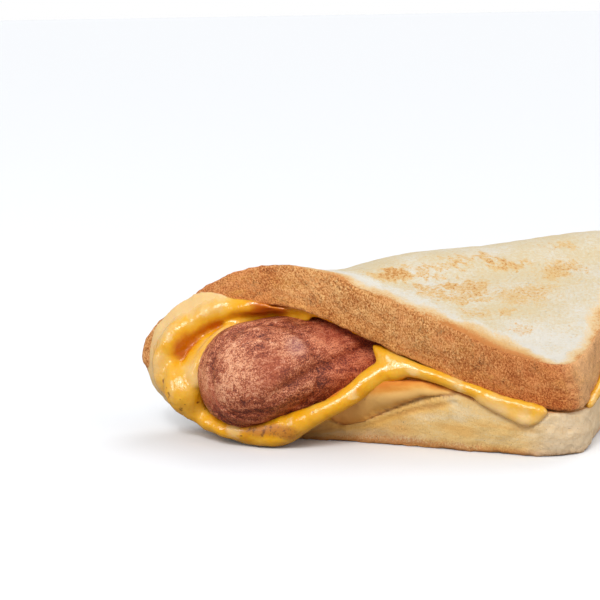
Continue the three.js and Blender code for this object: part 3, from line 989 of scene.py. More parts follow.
# coloured places on it: ((x, v, z), reach); the first ones are painted highlights
HIGHLIGHT_SPOTS = (((-73 * MM, 8.7 * MM, 25 * MM), 7 * MM), ((-75.5 * MM, 7.5 * MM, 19 * MM), 6 * MM),
              ((-78 * MM, 1 * MM, 18 * MM), 7 * MM), ((-42 * MM, 12.6 * MM, 24.5 * MM), 12 * MM))
RED_SPOT = ((-64 * MM, 13 * MM, 23.5 * MM), 8 * MM)
GREY_SPOT = ((-56.8 * MM, 11 * MM, 26.8 * MM), 4.5 * MM)
# where painted shade darkens the skin: under the bread, and on the lower side
SHADE_UNDER_BREAD_X = (-58 * MM, -42 * MM)
SHADE_LOW_SIDE_Z = (15 * MM, 7 * MM)


def sausage_ring(share):
    """(x, radius) of a ring: share runs from 0 at one tip to 1 at the other."""
    shoulder = SAUSAGE_HALF - SAUSAGE_CAP
    from_tip = min(share, 1 - share) / CAP_SHARE
    if from_tip >= 1:
        return shoulder * (0.5 - share) / (0.5 - CAP_SHARE), SAUSAGE_RADIUS
    turn = from_tip * QUARTER
    power = 2 / SAUSAGE_BLUNTNESS
    cap = SAUSAGE_CAP - TIP_SHORTER
    x = math.copysign(shoulder + cap * math.cos(turn) ** power, 0.5 - share)
    return x, SAUSAGE_RADIUS * math.sin(turn) ** power


def crease(value, width):
    """1 in the middle of a crease, where noise passes through zero, and 0 beside it."""
    return 1 - ease(abs(value), 0, width)


def random_folds(x, v, z, warp):
    """How deep the skin is folded at random there, 0 to 1."""
    along = Vector((x / BODY_STRETCH, v, z))
    body = crease(BODY_FOLDS.at(along + Vector((0, warp, 0))), BODY_WIDTH)
    ring = (Vector((abs(x), v, z)) - FOLD_CENTRE).length
    around = Vector((ring * TIP_CLOSER, v / TIP_STRETCH, z / TIP_STRETCH + warp / 3))
    tip = crease(TIP_FOLDS.at(around), TIP_WIDTH)
    on_tip = 1 - ease(SAUSAGE_HALF - abs(x), *TIP_FOLDS_FROM)
    folded = lerp(SMOOTH_SHARE, 1, ease(FOLDED_PLACES.at((x, v, z)), -0.4, 0.3))
    return lerp(BODY_SHARE * body, tip, on_tip) * folded


def long_crease(x, v, z, warp):
    """How deep the long crease is there, 0 to 1, and how far the skin beside it swells."""
    from_tip = SAUSAGE_HALF - abs(x)
    start, end = LONG_CREASE["from_tip"]
    turn = math.radians(lerp(*LONG_CREASE["turn"], clamp((from_tip - start) / (end - start))))
    beside = SAUSAGE_RADIUS * (math.atan2(z - AXIS_HEIGHT, v) - turn) + 0.5 * warp
    there = ease(from_tip, *LONG_CREASE["fades_in"]) * ease(from_tip, *LONG_CREASE["fades_out"])
    swell = bump(beside, *SWOLLEN["above"]) + bump(beside, *SWOLLEN["below"])
    return bump(beside, 0, LONG_CREASE["width"]) * there, SWOLLEN["height"] * there * swell


def skin_folds(look, x, v, z):
    """How deep the skin is creased there, 0 to 1, and how far it is pushed in or out."""
    warp = WARP * SKIN_WARP.at((x / 2, v, z))
    folds = random_folds(x, v, z, warp)
    long, swell = long_crease(x, v, z, warp)
    ring = (Vector((abs(x), v, z)) - FOLD_CENTRE).length
    tip = bump(ring, TIP_CREASE["ring"] + 0.4 * warp, TIP_CREASE["width"])
    tip *= ease(z + v, *TIP_CREASE["v + z"])
    pinch = look.fold_depth * folds + LONG_CREASE["depth"] * long + TIP_CREASE["depth"] * tip
    return max(folds, long, tip), swell - pinch


def make_sausage_mesh(look):
    """Rings with blunt round ends, a little uneven, with drooping tips and folded skin."""
    bm = bmesh.new()
    bmesh.ops.create_uvsphere(bm, u_segments=SAUSAGE_SIDES, v_segments=SAUSAGE_RINGS, radius=1)
    skin = bm.verts.layers.float_vector.new("skin")
    creased = bm.verts.layers.float.new("creased")
    short, long = LUMP_LENGTHS
    for vert in bm.verts:
        turn = math.atan2(vert.co.y, vert.co.x)
        share = math.acos(clamp(vert.co.z, -1, 1)) / math.pi
        x, radius = sausage_ring(share)
        lumps = math.sin(x / short + 2 * turn) + math.sin(x / long - turn) - 1
        uneven = radius * (1 + SAUSAGE_LUMPS * lumps)
        v = math.cos(turn) * uneven
        z = AXIS_HEIGHT + math.sin(turn) * uneven
        vert.co = place(x, v, z - look.tip_droop * ease(abs(x), *DROOP_FROM))
        vert[skin] = Vector((x, v, z))
    bmesh.ops.recalc_face_normals(bm, faces=bm.faces)
    bm.normal_update()
    for vert in bm.verts:
        spot = vert[skin]
        vert[creased], push = skin_folds(look, *spot)
        lumps = look.skin_lumps * SKIN_LUMPS.at(spot) + look.fine_lumps * FINE_LUMPS.at(spot)
        vert.co += vert.normal * (push + lumps)
    return bm


def sausage_material(look):
    """Grilled skin: brown and specked, with red places, dry streaks that are partly painted glints,
    painted highlights, and painted shade in its creases, under the bread and lower down.
    """
    material, tree, shader = new_material("sausage skin")
    skin = attribute(tree, "skin", "Vector")
    x, _, z = parts_of(tree, skin)
    specks, _, _ = grain(tree, skin, 0.36 * MM)
    streaks = cloud(tree, skin, 1.3 * MM, 4, 0.7, stretch=(0.45, 1, 1))
    mottle = cloud(tree, skin, 7 * MM, 4, 0.6, stretch=(0.6, 1, 1))
    tone = wobble(tree, 0.5, (mottle, 0.75), (specks, 2.2), (streaks, 1.1))
    # painted highlights: lighter in soft spots
    for spot in HIGHLIGHT_SPOTS:
        tone = plus(tree, tone, times(tree, near_spot(tree, skin, *spot), 0.16))
    # painted shade: darker in the skin's creases
    tone = minus(tree, tone, times(tree, attribute(tree, "creased"), 0.12))
    base = ramp(tree, tone, (0.22, look.dark_colour), (0.5, look.skin_colour),
                (0.82, look.light_colour))
    red = between(tree, cloud(tree, skin, 12 * MM, 3, offset=(5, 2, 1)), 0.55, 0.68)
    red = greater(tree, red, near_spot(tree, skin, *RED_SPOT))
    base = tinge(tree, base, look.red_colour, red, 0.45)
    # pale dry streaks on the lighter skin, partly painted glints
    dry = cloud(tree, skin, 0.5 * MM, 3, 0.8, stretch=(0.5, 1, 1), offset=(2, 7, 3))
    dry = between(tree, dry, 0.52, 0.68)
    base = tinge(tree, base, look.dry_and_glint_colour, dry, between(tree, tone, 0.4, 0.8), 0.6)
    # painted shade: darker under the bread and on the lower side
    shade_under_bread = between(tree, wobble(tree, x, (mottle, 16 * MM)), *SHADE_UNDER_BREAD_X)
    base = tinge(tree, base, look.low_shade_colour, shade_under_bread, mode="MULTIPLY")
    below = between(tree, wobble(tree, z, (mottle, 8 * MM)), *SHADE_LOW_SIDE_Z)
    base = tinge(tree, base, look.low_shade_colour, below, 0.8, mode="MULTIPLY")
    base = tinge(tree, base, look.grey_colour, near_spot(tree, skin, *GREY_SPOT), 0.35)
    gloss = between(tree, specks, 0.4, 0.65, 0.5, 0.26)
    plug_all(tree, shader, {"Base Color": base, "Roughness": gloss, "Specular IOR Level": 0.6})
    raise_surface(tree, shader, wobble(tree, specks, (streaks, 0.9)), 0.9, 0.35 * MM)
    return material


# ------------------------------------------------------------------ cheese

# the sheet that lines the fold: it sinks a little into the bread, which is soft, and is
# thinner where the sausage presses on it, from and to these places along -q
CHEESE_SINK = -0.3 * MM
CHEESE_SHEET = 1.9 * MM
CHEESE_PRESSED = 1.3 * MM
PRESSED_FROM = (8 * MM, 22 * MM)
CHEESE_TOP = 42 * MM
CHEESE_FRONT = 76 * MM
NOTCH = UNDER_RADIUS * (QUARTER + ROLL_RISE) + UNDER_FLAT      # -q at the foot of the roll

# its filling of the wedge between the flaps: it climbs the sausage as far as an angle, then
# follows the upper flap, with a gap that closes
CHEESE_BORE = SAUSAGE_RADIUS + 0.1 * MM
FILL_TOP = math.radians(132)
FILL_START = 39 * MM
FILL_FRONT_SHARE = 0.6
FILL_GAP = 1.6 * MM
FILL_GAP_LENGTH = 9 * MM

# how far it hangs out at each end, less towards the seam and up the fold, along q
OVERHANG_LEFT = 11.3 * MM
OVERHANG_RIGHT = 8 * MM
OVERHANG_LOWER = (-35 * MM, -17 * MM)
OVERHANG_UPPER = (28 * MM, 13 * MM)
SEAM_SETBACK = 0.8 * MM
SETBACK = 3 * MM

# it curls over the crust higher up, and is a lip below, whose foot sags to the ground
CURL = 1.5 * MM
CURL_LIP = (-30 * MM, -14 * MM)
LIP_FOOT_HEIGHT = 0.9 * MM
LIP_SAG = (1.2 * MM, 5 * MM)
LIP_FOOT_UNDER = 1.35           # how far its foot runs out, as a share of the overhang
LIP_FOOT_BESIDE = 0.35          # and beside the roll of crumb
LIP_LIES_FLAT = (-36 * MM, -31 * MM)
LIP_JOINS_SEAM = (-38 * MM, -46 * MM)

# how it is made: a grid and beads, joined and smoothed, with waves on the surface, which are
# lower between the flaps
CHEESE_ROWS = 150
CHEESE_COLUMNS = 110
CHEESE_COVERED = 0.72           # share of a row's columns that lie over the bread
CHEESE_VOXEL = 0.66 * MM
CHEESE_SETTLES = 11             # rounds of smoothing
BEAD_STEP = 0.3                 # of a bead's radius
BEAD_UNEVEN = Relief(9 * MM, seed=51)
BEADS_VARY = 0.09
CHEESE_WAVES = Relief(4.6 * MM, seed=53)
CHEESE_RIPPLES = Relief(2.2 * MM, seed=55, octaves=2)
LOWER_INSIDE = 0.45
WAVY_FROM = (60 * MM, 70 * MM)

# its tone is above 0 where it is pale and below 0 where it is deep; the deep tone in the pocket and
# on sides that face the sausage is painted shade
TONE_NEIGHBOURS = 6
TONE_SMOOTHINGS = 16
FACE_TONE = {"tone": 0.9, "s": (0, 9 * MM), "q": (-20 * MM, -8 * MM)}
POCKET_SHADE = {"tone": -2.1, "s": -4.2 * MM, "width": 4.0 * MM, "from_q": (-3 * MM, 5 * MM),
               "to_q": (30 * MM, 20 * MM)}
# painted shade: how much deeper a side is that faces the sausage, and from which height
FACING_SHADE = 0.45              # how much deeper a side is that faces the sausage
FACING_SHADE_FROM = (19 * MM, 24 * MM)            # and from which height

# thick runs of melted cheese: marks of (x, v, z, radius) in millimetres
RUNS = {
    "against the sausage": (
        (-50.0, 4.0, 31.4, 0.8), (-54.5, -2.0, 31.9, 0.9), (-57.0, -4.5, 31.6, 1.0),
        (-62.0, -6.0, 30.4, 1.2), (-66.5, -6.8, 28.8, 1.6), (-70.5, -7.3, 26.0, 2.0),
        (-73.2, -7.4, 22.8, 2.2), (-75.0, -7.8, 19.2, 2.6), (-75.8, -8.4, 16.0, 3.2)),
    "pocket": (
        (-60.0, -8.2, 29.6, 1.0), (-64.0, -9.2, 28.0, 1.6), (-68.0, -10.0, 25.6, 2.8),
        (-71.0, -10.8, 22.8, 3.6), (-73.6, -11.2, 19.2, 4.2), (-75.8, -11.2, 15.6, 4.4)),
    "pool": (
        (-79.6, -14.5, 18.5, 1.4), (-79.2, -13.2, 15.4, 3.4), (-78.2, -12.0, 12.2, 4.5),
        (-76.4, -12.0, 9.4, 4.2)),
    "drip": (
        (-77.0, -10.0, 12.5, 4.0), (-76.0, -10.5, 8.6, 3.6), (-74.0, -10.5, 6.6, 2.8),
        (-72.6, -9.5, 5.6, 1.8)),
    "cup": (
        (-73.6, -9.0, 6.0, 2.6), (-72.4, -5.0, 4.6, 2.6), (-70.6, -1.0, 3.8, 2.5),
        (-67.6, 3.0, 3.8, 2.5), (-63.6, 6.2, 4.6, 2.6), (-59.4, 8.8, 6.2, 2.8)),
    "lip": (
        (-71.6, -12.0, 6.2, 1.2), (-70.6, -8.6, 4.4, 1.6), (-69.2, -4.0, 2.8, 2.2),
        (-66.8, 1.4, 2.5, 2.3), (-63.8, 5.4, 2.6, 2.5), (-60.0, 7.8, 3.4, 3.1),
        (-57.0, 9.4, 5.6, 3.3)),
    "strand": (
        (-60.0, 7.8, 3.4, 3.0), (-57.4, 10.6, 6.1, 3.2), (-54.0, 13.5, 8.5, 2.9),
        (-49.8, 16.1, 11.1, 2.6), (-46.8, 17.1, 12.8, 2.6), (-43.5, 17.6, 14.9, 2.8),
        (-40.2, 18.2, 17.3, 3.0), (-36.8, 19.2, 19.3, 3.0), (-33.6, 22.0, 20.0, 2.6)),
    "seam": (
        (-37.2, 15.6, 25.6, 0.9), (-35.8, 17.2, 23.6, 2.1), (-34.4, 19.6, 22.0, 2.8),
        (-32.0, 23.0, 20.9, 2.3),
        (-29.0, 26.6, 19.9, 1.9), (-25.6, 29.8, 18.6, 1.75), (-22.0, 33.0, 17.0, 1.7),
        (-18.0, 36.6, 15.4, 1.7), (-14.5, 39.8, 14.0, 1.7), (-11.0, 43.0, 13.0, 1.7),
        (-7.0, 46.4, 12.0, 1.5)),
    "tab": (
        (-18.5, 36.6, 14.4, 1.6), (-15.0, 39.9, 12.0, 1.7), (-12.0, 42.6, 10.4, 1.8),
        (-9.4, 45.0, 9.4, 1.7), (-6.8, 46.7, 11.8, 1.4)),
}
RUN_TONES = {"against the sausage": 0.35, "pocket": 0.1, "pool": 0.2, "drip": 0.0,
             "cup": -0.1, "lip": 0.15, "strand": -0.05, "seam": 0.15, "tab": 0.45}
RIGHT_END_RUNS = ("against the sausage", "pocket", "pool", "drip", "cup", "lip", "strand",
                  "seam")
RIGHT_END_SHRINK = 0.88

# pale bits of cheese and painted highlights on the strand, lip and rim, and brown crumbs: ((x, v, z),
# size) in millimetres
PALE_BITS_AND_HIGHLIGHTS = (
    ((-36.5, 21, 23), 1.3), ((-32, 26, 20.5), 2.6), ((-23, 34, 16.5), 2.0),
    ((-45.5, 19.5, 14.5), 1.9), ((-59.5, 12.5, 7.5), 1.6), ((-70.5, 2.5, 4.5), 3.2),
    ((-72.5, -10, 33), 2.0), ((-80.5, -15, 26.5), 2.2),
)
BROWN_CRUMBS = (
    ((-82, -14.5, 15), 0.9), ((-82.5, -11, 12), 1.1), ((-80, -9, 8.5), 1.0),
    ((-67.5, 6, 5), 1.1), ((-65, 8, 4.5), 1.2), ((-63.5, 9, 6), 0.9),
    ((-69, 4, 3.5), 0.8), ((-76, -7.5, 10.5), 0.9),
)

# the rolled rim at each end of the fold
RIM_FROM = -15 * MM
RIM_TO = 29 * MM
RIM_STEPS = 90
RIM_PALE_STEPS = 70             # from there on it is deeper
RIM_TONES = (0.35, -0.3)
RIM_PLACE = CURL + 1.6 * MM     # from the crust's inner edge to the middle of the rim
RIM_IN_SHEET = 0.35             # its middle's share of the sheet's thickness
RIM_ROLLS_OUT = (RIM_TO + 3 * MM, 18 * MM)
RIM_RADII = (0.7 * MM, 2.9 * MM)
RIM_THICKENS = (RIM_TO, 8 * MM)
RIM_START = 0.7                 # its share of the radius where it starts
RIM_UNEVEN = Relief(4 * MM, seed=57)
RIM_VARIES = 0.22

# where its foot is toasted: along x from the middle, in front of the sausage's axis, and up;
# and the height below which it has small burnt pits
FOOT_TOAST_FROM = (57 * MM, 60 * MM)
FOOT_TOAST_TO = (69 * MM, 66 * MM)
FOOT_TOAST_Y = (AXIS_Y + 2 * MM, AXIS_Y - 1 * MM)
FOOT_TOAST_LOWEST = (2.6 * MM, 4.2 * MM)
FOOT_TOAST_HIGHEST = (7.5 * MM, 5.5 * MM)
PITS_BELOW = (20 * MM, 12 * MM)


def cheese_outside(q):
    """(v, z) on the side that lies on the bread."""
    return lining_point(q, CHEESE_SINK)[:2]


NOTCH_V, NOTCH_Z, _ = LOWER_INNER.walk(NOTCH)
NOTCH_ANGLE = math.atan2(NOTCH_V, AXIS_HEIGHT - NOTCH_Z)


def cheese_inside(q):
    """(v, z) on the side that faces the sausage.  Over the lower flap the cheese fills the
    wedge between the flaps: it climbs the sausage, turns, and follows the upper flap."""
    along = (-q - NOTCH) / (CHEESE_FRONT - NOTCH)
    if along <= 0:
        sheet = lerp(CHEESE_SHEET, CHEESE_PRESSED, ease(-q, *PRESSED_FROM))
        return lining_point(q, sheet)[:2]
    turn_at = 1 - FILL_FRONT_SHARE
    if along < turn_at:
        angle = lerp(NOTCH_ANGLE, FILL_TOP, along / turn_at)
        return CHEESE_BORE * math.sin(angle), AXIS_HEIGHT - CHEESE_BORE * math.cos(angle)
    far = lerp(FILL_START, CHEESE_FRONT - 1 * MM, (along - turn_at) / FILL_FRONT_SHARE)
    gap = FILL_GAP * (1 - ease(far, FILL_START, FILL_START + FILL_GAP_LENGTH))
    return lining_point(far, CHEESE_SINK + gap)[:2]


def overhang(q, side):
    """How far the cheese runs past the crust's inner edge."""
    full = OVERHANG_LEFT if side < 0 else OVERHANG_RIGHT
    seam = lerp(-SEAM_SETBACK, full, ease(q, *OVERHANG_LOWER))
    return lerp(-SETBACK, seam, ease(q, *OVERHANG_UPPER))


def lip_point(q, side, s, depth):
    """The overhang as a lip, which cups the end of the sausage and lies flat below."""
    along, across = outline_normal(q, side)
    edge_p, edge_q = squeezed(side * slice_reach(q), q)
    flat = ease(q, *LIP_LIES_FLAT)
    beside = lerp(LIP_FOOT_BESIDE, 1, ease(q, *LIP_JOINS_SEAM))
    run = s * lerp(beside, LIP_FOOT_UNDER, flat)
    start_v, start_z = cheese_outside(edge_q)
    roll_v, roll_z = cheese_outside(edge_q + across * run)
    low = lerp(start_z, LIP_FOOT_HEIGHT, ease(run, *LIP_SAG))
    foot = place(edge_p + along * run, lerp(roll_v, start_v - across * run, flat),
                 lerp(roll_z, low, flat))
    high_v, high_z = cheese_inside(edge_q + across * s)
    return foot.lerp(place(edge_p + along * s, high_v, high_z), depth)


def curl_point(q, side, s, depth):
    """The overhang curled outwards, over the crust."""
    stand = CHEESE_SINK + (CHEESE_SHEET - CHEESE_SINK) * depth
    bend = clamp(s / CURL) * QUARTER
    down = clamp((s - CURL) / CRUMB)
    foot_v, foot_z, _ = lining_point(q)
    lifted_v, lifted_z, _ = lining_point(q, stand * math.cos(bend))
    curl = bread_point(side * slice_reach(q), q, down)
    curl += place(0, lifted_v, lifted_z) - place(0, foot_v, foot_z)
    bulge = CRUST_BULGE * math.sin(math.pi * down)
    return curl + outwards(q, side) * (stand * math.sin(bend) + bulge)


def cheese_point(q, side, s, depth):
    """s is measured from the crust's inner edge, and is negative over the bread."""
    if s > 0:
        lip = lip_point(q, side, s, depth)
        return lip.lerp(curl_point(q, side, s, depth), ease(q, *CURL_LIP))
    flat_p, flat_q = squeezed(side * (slice_reach(q) + s), q)
    outside = place(flat_p, *cheese_outside(flat_q))
    return outside.lerp(place(flat_p, *cheese_inside(flat_q)), depth)


def sheet_tone(q, s):
    """Pale on the rim's outer face, and deep with painted shade in the pocket inside it."""
    if s > 0:
        return FACE_TONE["tone"] * ease(s, *FACE_TONE["s"]) * ease(q, *FACE_TONE["q"])
    inside = POCKET_SHADE["tone"] * bump(s, POCKET_SHADE["s"], POCKET_SHADE["width"])
    return inside * ease(q, *POCKET_SHADE["from_q"]) * ease(q, *POCKET_SHADE["to_q"])


def add_cheese_sheet(bm, tones):
    """The sheet that lines the fold, from end to end."""
    box_grid(bm, CHEESE_COLUMNS, CHEESE_ROWS, 0)
    for vert in bm.verts:
        q = lerp(-CHEESE_FRONT, CHEESE_TOP, vert.co.y + 0.5)
        side = math.copysign(1, vert.co.x)
        share = abs(2 * vert.co.x)
        end = overhang(q, side)
        edge = min(0, end - SETBACK)
        past = clamp((share - CHEESE_COVERED) / (1 - CHEESE_COVERED))
        inland = max(1 - share / CHEESE_COVERED, 0) * (slice_reach(q) + edge)
        s = lerp(edge, end, past) - inland
        vert.co = cheese_point(q, side, s, vert.co.z + 0.5)
        tones.append((vert.co.copy(), sheet_tone(q, s)))


def smooth_run(marks, steps=24):
    """Points of a Catmull-Rom curve through marks, each with its radius last."""
    marks = (marks[0],) + tuple(marks) + (marks[-1],)
    points = []
    for before, start, end, after in zip(marks, marks[1:], marks[2:], marks[3:]):
        for step in range(steps):
            t = step / steps
            weights = (-t * (1 - t) ** 2 / 2, (2 - 5 * t * t + 3 * t ** 3) / 2,
                       t * (1 + 4 * t - 3 * t * t) / 2, -t * t * (1 - t) / 2)
            points.append([sum(w * mark[i] for w, mark in zip(weights, (before, start, end, after)))
                           for i in range(4)])
    points.append(marks[-1])
    return points


def add_beads(bm, tones, points, tone):
    """Overlapping balls along a run, which melt together later."""
    last = None
    for x, v, z, radius in points:
        centre = place(x, v, z)
        if last is not None and (centre - last).length < BEAD_STEP * radius:
            continue
        last = centre
        uneven = radius * (1 + BEADS_VARY * BEAD_UNEVEN.at(centre))
        ball = bmesh.ops.create_icosphere(bm, subdivisions=2, radius=uneven,
                                          matrix=Matrix.Translation(centre))
        tones.extend((vert.co.copy(), tone) for vert in ball["verts"])


def rim_points(side):
    """Points along the rolled rim of one end, each with its radius last."""
    points = []
    thickness = 1 if side < 0 else RIGHT_END_SHRINK
    for step in range(RIM_STEPS + 1):
        q = lerp(RIM_FROM, RIM_TO, step / RIM_STEPS)
        centre = curl_point(q, side, RIM_PLACE * ease(q, *RIM_ROLLS_OUT), RIM_IN_SHEET)
        radius = lerp(*RIM_RADII, ease(q, *RIM_THICKENS)) * thickness
        radius *= lerp(RIM_START, 1, ease(q, RIM_FROM, 0)) * (1 + RIM_VARIES * RIM_UNEVEN.at(centre))
        points.append((centre.x, AXIS_Y - centre.y, centre.z, radius))
    return points


def melted(bm):
    """The shape remeshed and smoothed, as cheese runs together when it melts."""
    beads = mesh_object("melting", bm)
    mesh = beads.data
    join = beads.modifiers.new("join", "REMESH")
    join.mode = "VOXEL"
    join.voxel_size = CHEESE_VOXEL
    settle = beads.modifiers.new("settle", "SMOOTH")
    settle.factor = 0.5
    settle.iterations = CHEESE_SETTLES
    shape = beads.evaluated_get(bpy.context.evaluated_depsgraph_get()).to_mesh()
    result = bmesh.new()
    result.from_mesh(shape)
    beads.to_mesh_clear()
    bpy.data.objects.remove(beads)
    bpy.data.meshes.remove(mesh)
    return result


def give_tones(bm, tones):
    """Gives each point the mean tone of the nearest of the tones, each one (place, tone), with
    painted shade where it faces the sausage, and evens the tones out."""
    tree = kdtree.KDTree(len(tones))
    for index, (centre, _) in enumerate(tones):
        tree.insert(centre, index)
    tree.balance()
    tone = bm.verts.layers.float.new("tone")
    bm.normal_update()
    for vert in bm.verts:
        found = tree.find_n(vert.co, TONE_NEIGHBOURS)
        vert[tone] = sum(tones[index][1] for _, index, _ in found) / TONE_NEIGHBOURS
        to_sausage = (place(vert.co.x, 0, AXIS_HEIGHT) - vert.co).normalized()
        shaded_side = ease(vert.normal.dot(to_sausage), 0.1, 0.9) * ease(vert.co.z, *FACING_SHADE_FROM)
        vert[tone] -= FACING_SHADE * shaded_side
    for _ in range(TONE_SMOOTHINGS):
        for edge in bm.edges:
            one, other = edge.verts
            step = 0.15 * (other[tone] - one[tone])
            one[tone] += step
            other[tone] -= step


def make_cheese_mesh(look):
    """The sheet, the runs and the rims, melted together and made a little wavy."""
    bm = bmesh.new()
    tones = []
    add_cheese_sheet(bm, tones)
    for name, marks in RUNS.items():
        run = [[mark * MM for mark in point] for point in smooth_run(marks)]
        add_beads(bm, tones, run, RUN_TONES[name])
        if name in RIGHT_END_RUNS:
            mirrored = [(-x, v, z, radius * RIGHT_END_SHRINK) for x, v, z, radius in run]
            add_beads(bm, tones, mirrored, RUN_TONES[name])
    pale, deep = RIM_TONES
    for side in (-1, 1):
        rim = rim_points(side)
        add_beads(bm, tones, rim[:RIM_PALE_STEPS], pale)
        add_beads(bm, tones, rim[RIM_PALE_STEPS:], deep)
    bm = melted(bm)
    give_tones(bm, tones)
    for vert in bm.verts:
        wave = look.waves * CHEESE_WAVES.at(vert.co) + look.ripples * CHEESE_RIPPLES.at(vert.co)
        vert.co += vert.normal * wave * lerp(LOWER_INSIDE, 1, ease(abs(vert.co.x), *WAVY_FROM))
        vert.co.z = max(vert.co.z, 0.0)
    return bm


def with_spots(tree, base, vector, spots, shade_of_spots, strength):
    """A colour with small soft spots of another on it."""
    for (x, v, z), reach in spots:
        spot = near_spot(tree, vector, place(x * MM, v * MM, z * MM), reach * MM)
        base = tinge(tree, base, shade_of_spots, between(tree, spot, 0.0, 0.8), strength)
    return base


def toasted_foot(tree, where, clouds, specks):
    """How toasted the foot of the lip is, 0 to 1, at both ends."""
    x, y, z = parts_of(tree, where)
    along = wobble(tree, absolute(tree, x), (clouds, 5 * MM))
    height = wobble(tree, z, (clouds, 5 * MM), (specks, 4 * MM))
    return times(tree, between(tree, along, *FOOT_TOAST_FROM), between(tree, along, *FOOT_TOAST_TO),
                 between(tree, y, *FOOT_TOAST_Y),
                 between(tree, wobble(tree, z, (clouds, 4 * MM)), *FOOT_TOAST_LOWEST),
                 between(tree, height, *FOOT_TOAST_HIGHEST))


def cheese_material(look):
    """Glossy melted cheese, with painted shade deep in its hollows, pale on its rim, and painted
    highlights as pale spots.
    """
    material, tree, shader = new_material("melted cheese")
    where = add(tree, "TexCoord").outputs["Object"]
    _, _, z = parts_of(tree, where)
    clouds = cloud(tree, where, 5 * MM, 4)
    specks, pits, _ = grain(tree, where, 0.9 * MM)
    tone = wobble(tree, attribute(tree, "tone"), (clouds, 1.15))
    base = ramp(tree, between(tree, tone, -1.0, 1.0), (0.08, look.deep_colour),
                (0.42, look.cheese_colour), (0.62, look.light_colour), (0.9, look.pale_colour))
    ragged = stirred(tree, where, 1.3 * MM, 3.0 * MM)
    # pale bits and painted highlights
    base = with_spots(tree, base, ragged, PALE_BITS_AND_HIGHLIGHTS, look.bit_and_highlight_colour, 0.5)
    # toasted and specked at the foot, with brown crumbs
    foot = toasted_foot(tree, where, clouds, specks)
    base = tinge(tree, base, look.toasted_colour, foot, 0.85)
    dots = plus(tree, times(tree, between(tree, specks, 0.53, 0.60), foot),
                times(tree, pits, between(tree, z, *PITS_BELOW)))
    base = tinge(tree, base, look.burnt_colour, dots, 0.8)
    base = with_spots(tree, base, ragged, BROWN_CRUMBS, look.burnt_colour, 0.8)
    dry = greater(tree, between(tree, tone, 0.3, 0.8, 0.0, 0.7), foot)
    plug_all(tree, shader, {
        "Base Color": base, "Roughness": between(tree, dry, 0.0, 1.0, 0.16, 0.5),
        "Specular IOR Level": 0.6, "Subsurface Weight": 0.25,
        "Subsurface Radius": (1.0, 0.45, 0.12), "Subsurface Scale": 1.5 * MM})
    raise_surface(tree, shader, cloud(tree, where, 2.6 * MM, 3, 0.6), 0.5, 0.6 * MM)
    return material


# ------------------------------------------------------------------ stage

CAMERA_TURN = math.radians(-26.957)
CAMERA_LIFT = math.radians(10.195)
CAMERA_PLACE = Vector((-0.27108, AXIS_Y - 0.43405, 0.12348))
CAMERA_LENS = 116.26            # in millimetres, as is the film's width
CAMERA_FILM = 36
LIT_POINT = Vector((0, 0, 20 * MM))         # what the lamps shine at

# the lamps: name, kind, place, the property that holds its strength, and a sun's angle or the
# side of an area
LAMPS = (
    ("sun", "SUN", (-0.7, -0.7, 0.9), "sunlight", math.radians(35)),
    ("fill", "SUN", (0.7, -0.65, 0.45), "fill", math.radians(60)),
    ("top light", "SUN", (0.75, 0.5, 1.05), "toplight", math.radians(40)),
    ("soft box", "AREA", (-0.45, -0.42, 0.6), "softbox", 0.10),
    ("side box", "AREA", (-0.75, 0.05, 0.22), "sidebox", 0.22),
)


def add_lamp(name, kind, location, energy, size):
    """A lamp that shines at the middle of the hot dog."""
    data = bpy.data.lights.new(name, kind)
    data.energy = energy
    if kind == "SUN":
        data.angle = size
    else:
        data.size = size
    lamp = new_object(name, data)
    lamp.location = location
    lamp.rotation_euler = (LIT_POINT - lamp.location).to_track_quat("-Z", "Y").to_euler()


def make_floor(look):
    """A plain floor, which is darker to the light than to the camera."""
    bm = bmesh.new()
    bmesh.ops.create_grid(bm, x_segments=1, y_segments=1, size=look.floor_size / 2)
    floor = mesh_object("floor", bm)
    material, tree, shader = new_material("pale floor")
    ray = add(tree, "LightPath")
    seen = blend(tree, ray.outputs["Is Camera Ray"], look.floor_bounce, look.floor_colour)
    plug_all(tree, shader, {"Base Color": seen, "Roughness": 1.0, "Specular IOR Level": 0.0})
    floor.data.materials.append(material)


def make_world(look):
    """White to the camera, and a weaker white light from all round."""
    world = bpy.data.worlds.new("studio")
    bpy.context.scene.world = world
    world.use_nodes = True
    tree = world.node_tree
    tree.nodes.clear()
    seen = add(tree, "Background", {"Color": (1, 1, 1, 1), "Strength": 1.0})
    glow = add(tree, "Background", {"Color": (1, 1, 1, 1), "Strength": look.ambient})
    ray = add(tree, "LightPath")
    both = add(tree, "MixShader", {0: ray.outputs["Is Camera Ray"], 1: glow.outputs[0],
                                   2: seen.outputs[0]})
    add(tree, "OutputWorld", {"Surface": both.outputs[0]})


def make_camera():
    """The camera, in front and to the left, looking a little down."""
    data = bpy.data.cameras.new("camera")
    data.lens = CAMERA_LENS
    data.sensor_width = CAMERA_FILM
    data.clip_start = 10 * MM
    camera = new_object("camera", data)
    camera.location = CAMERA_PLACE
    camera.rotation_euler = (QUARTER - CAMERA_LIFT, 0, CAMERA_TURN)
    bpy.context.scene.camera = camera


# ------------------------------------------------------------------ add-on

def shade(name, description, red, green, blue):
    """A property for a colour."""
    return FloatVectorProperty(name=name, description=description, subtype="COLOR", size=4,
                               min=0, max=1, default=colour(red, green, blue))


def measure(name, description, metres):
    """A property for a size."""
    return FloatProperty(name=name, description=description, default=metres, min=0,
                         precision=5, unit="LENGTH")


def light(name, description, default):
    """A property for a light."""
    return FloatProperty(name=name, description=description, default=default, min=0)


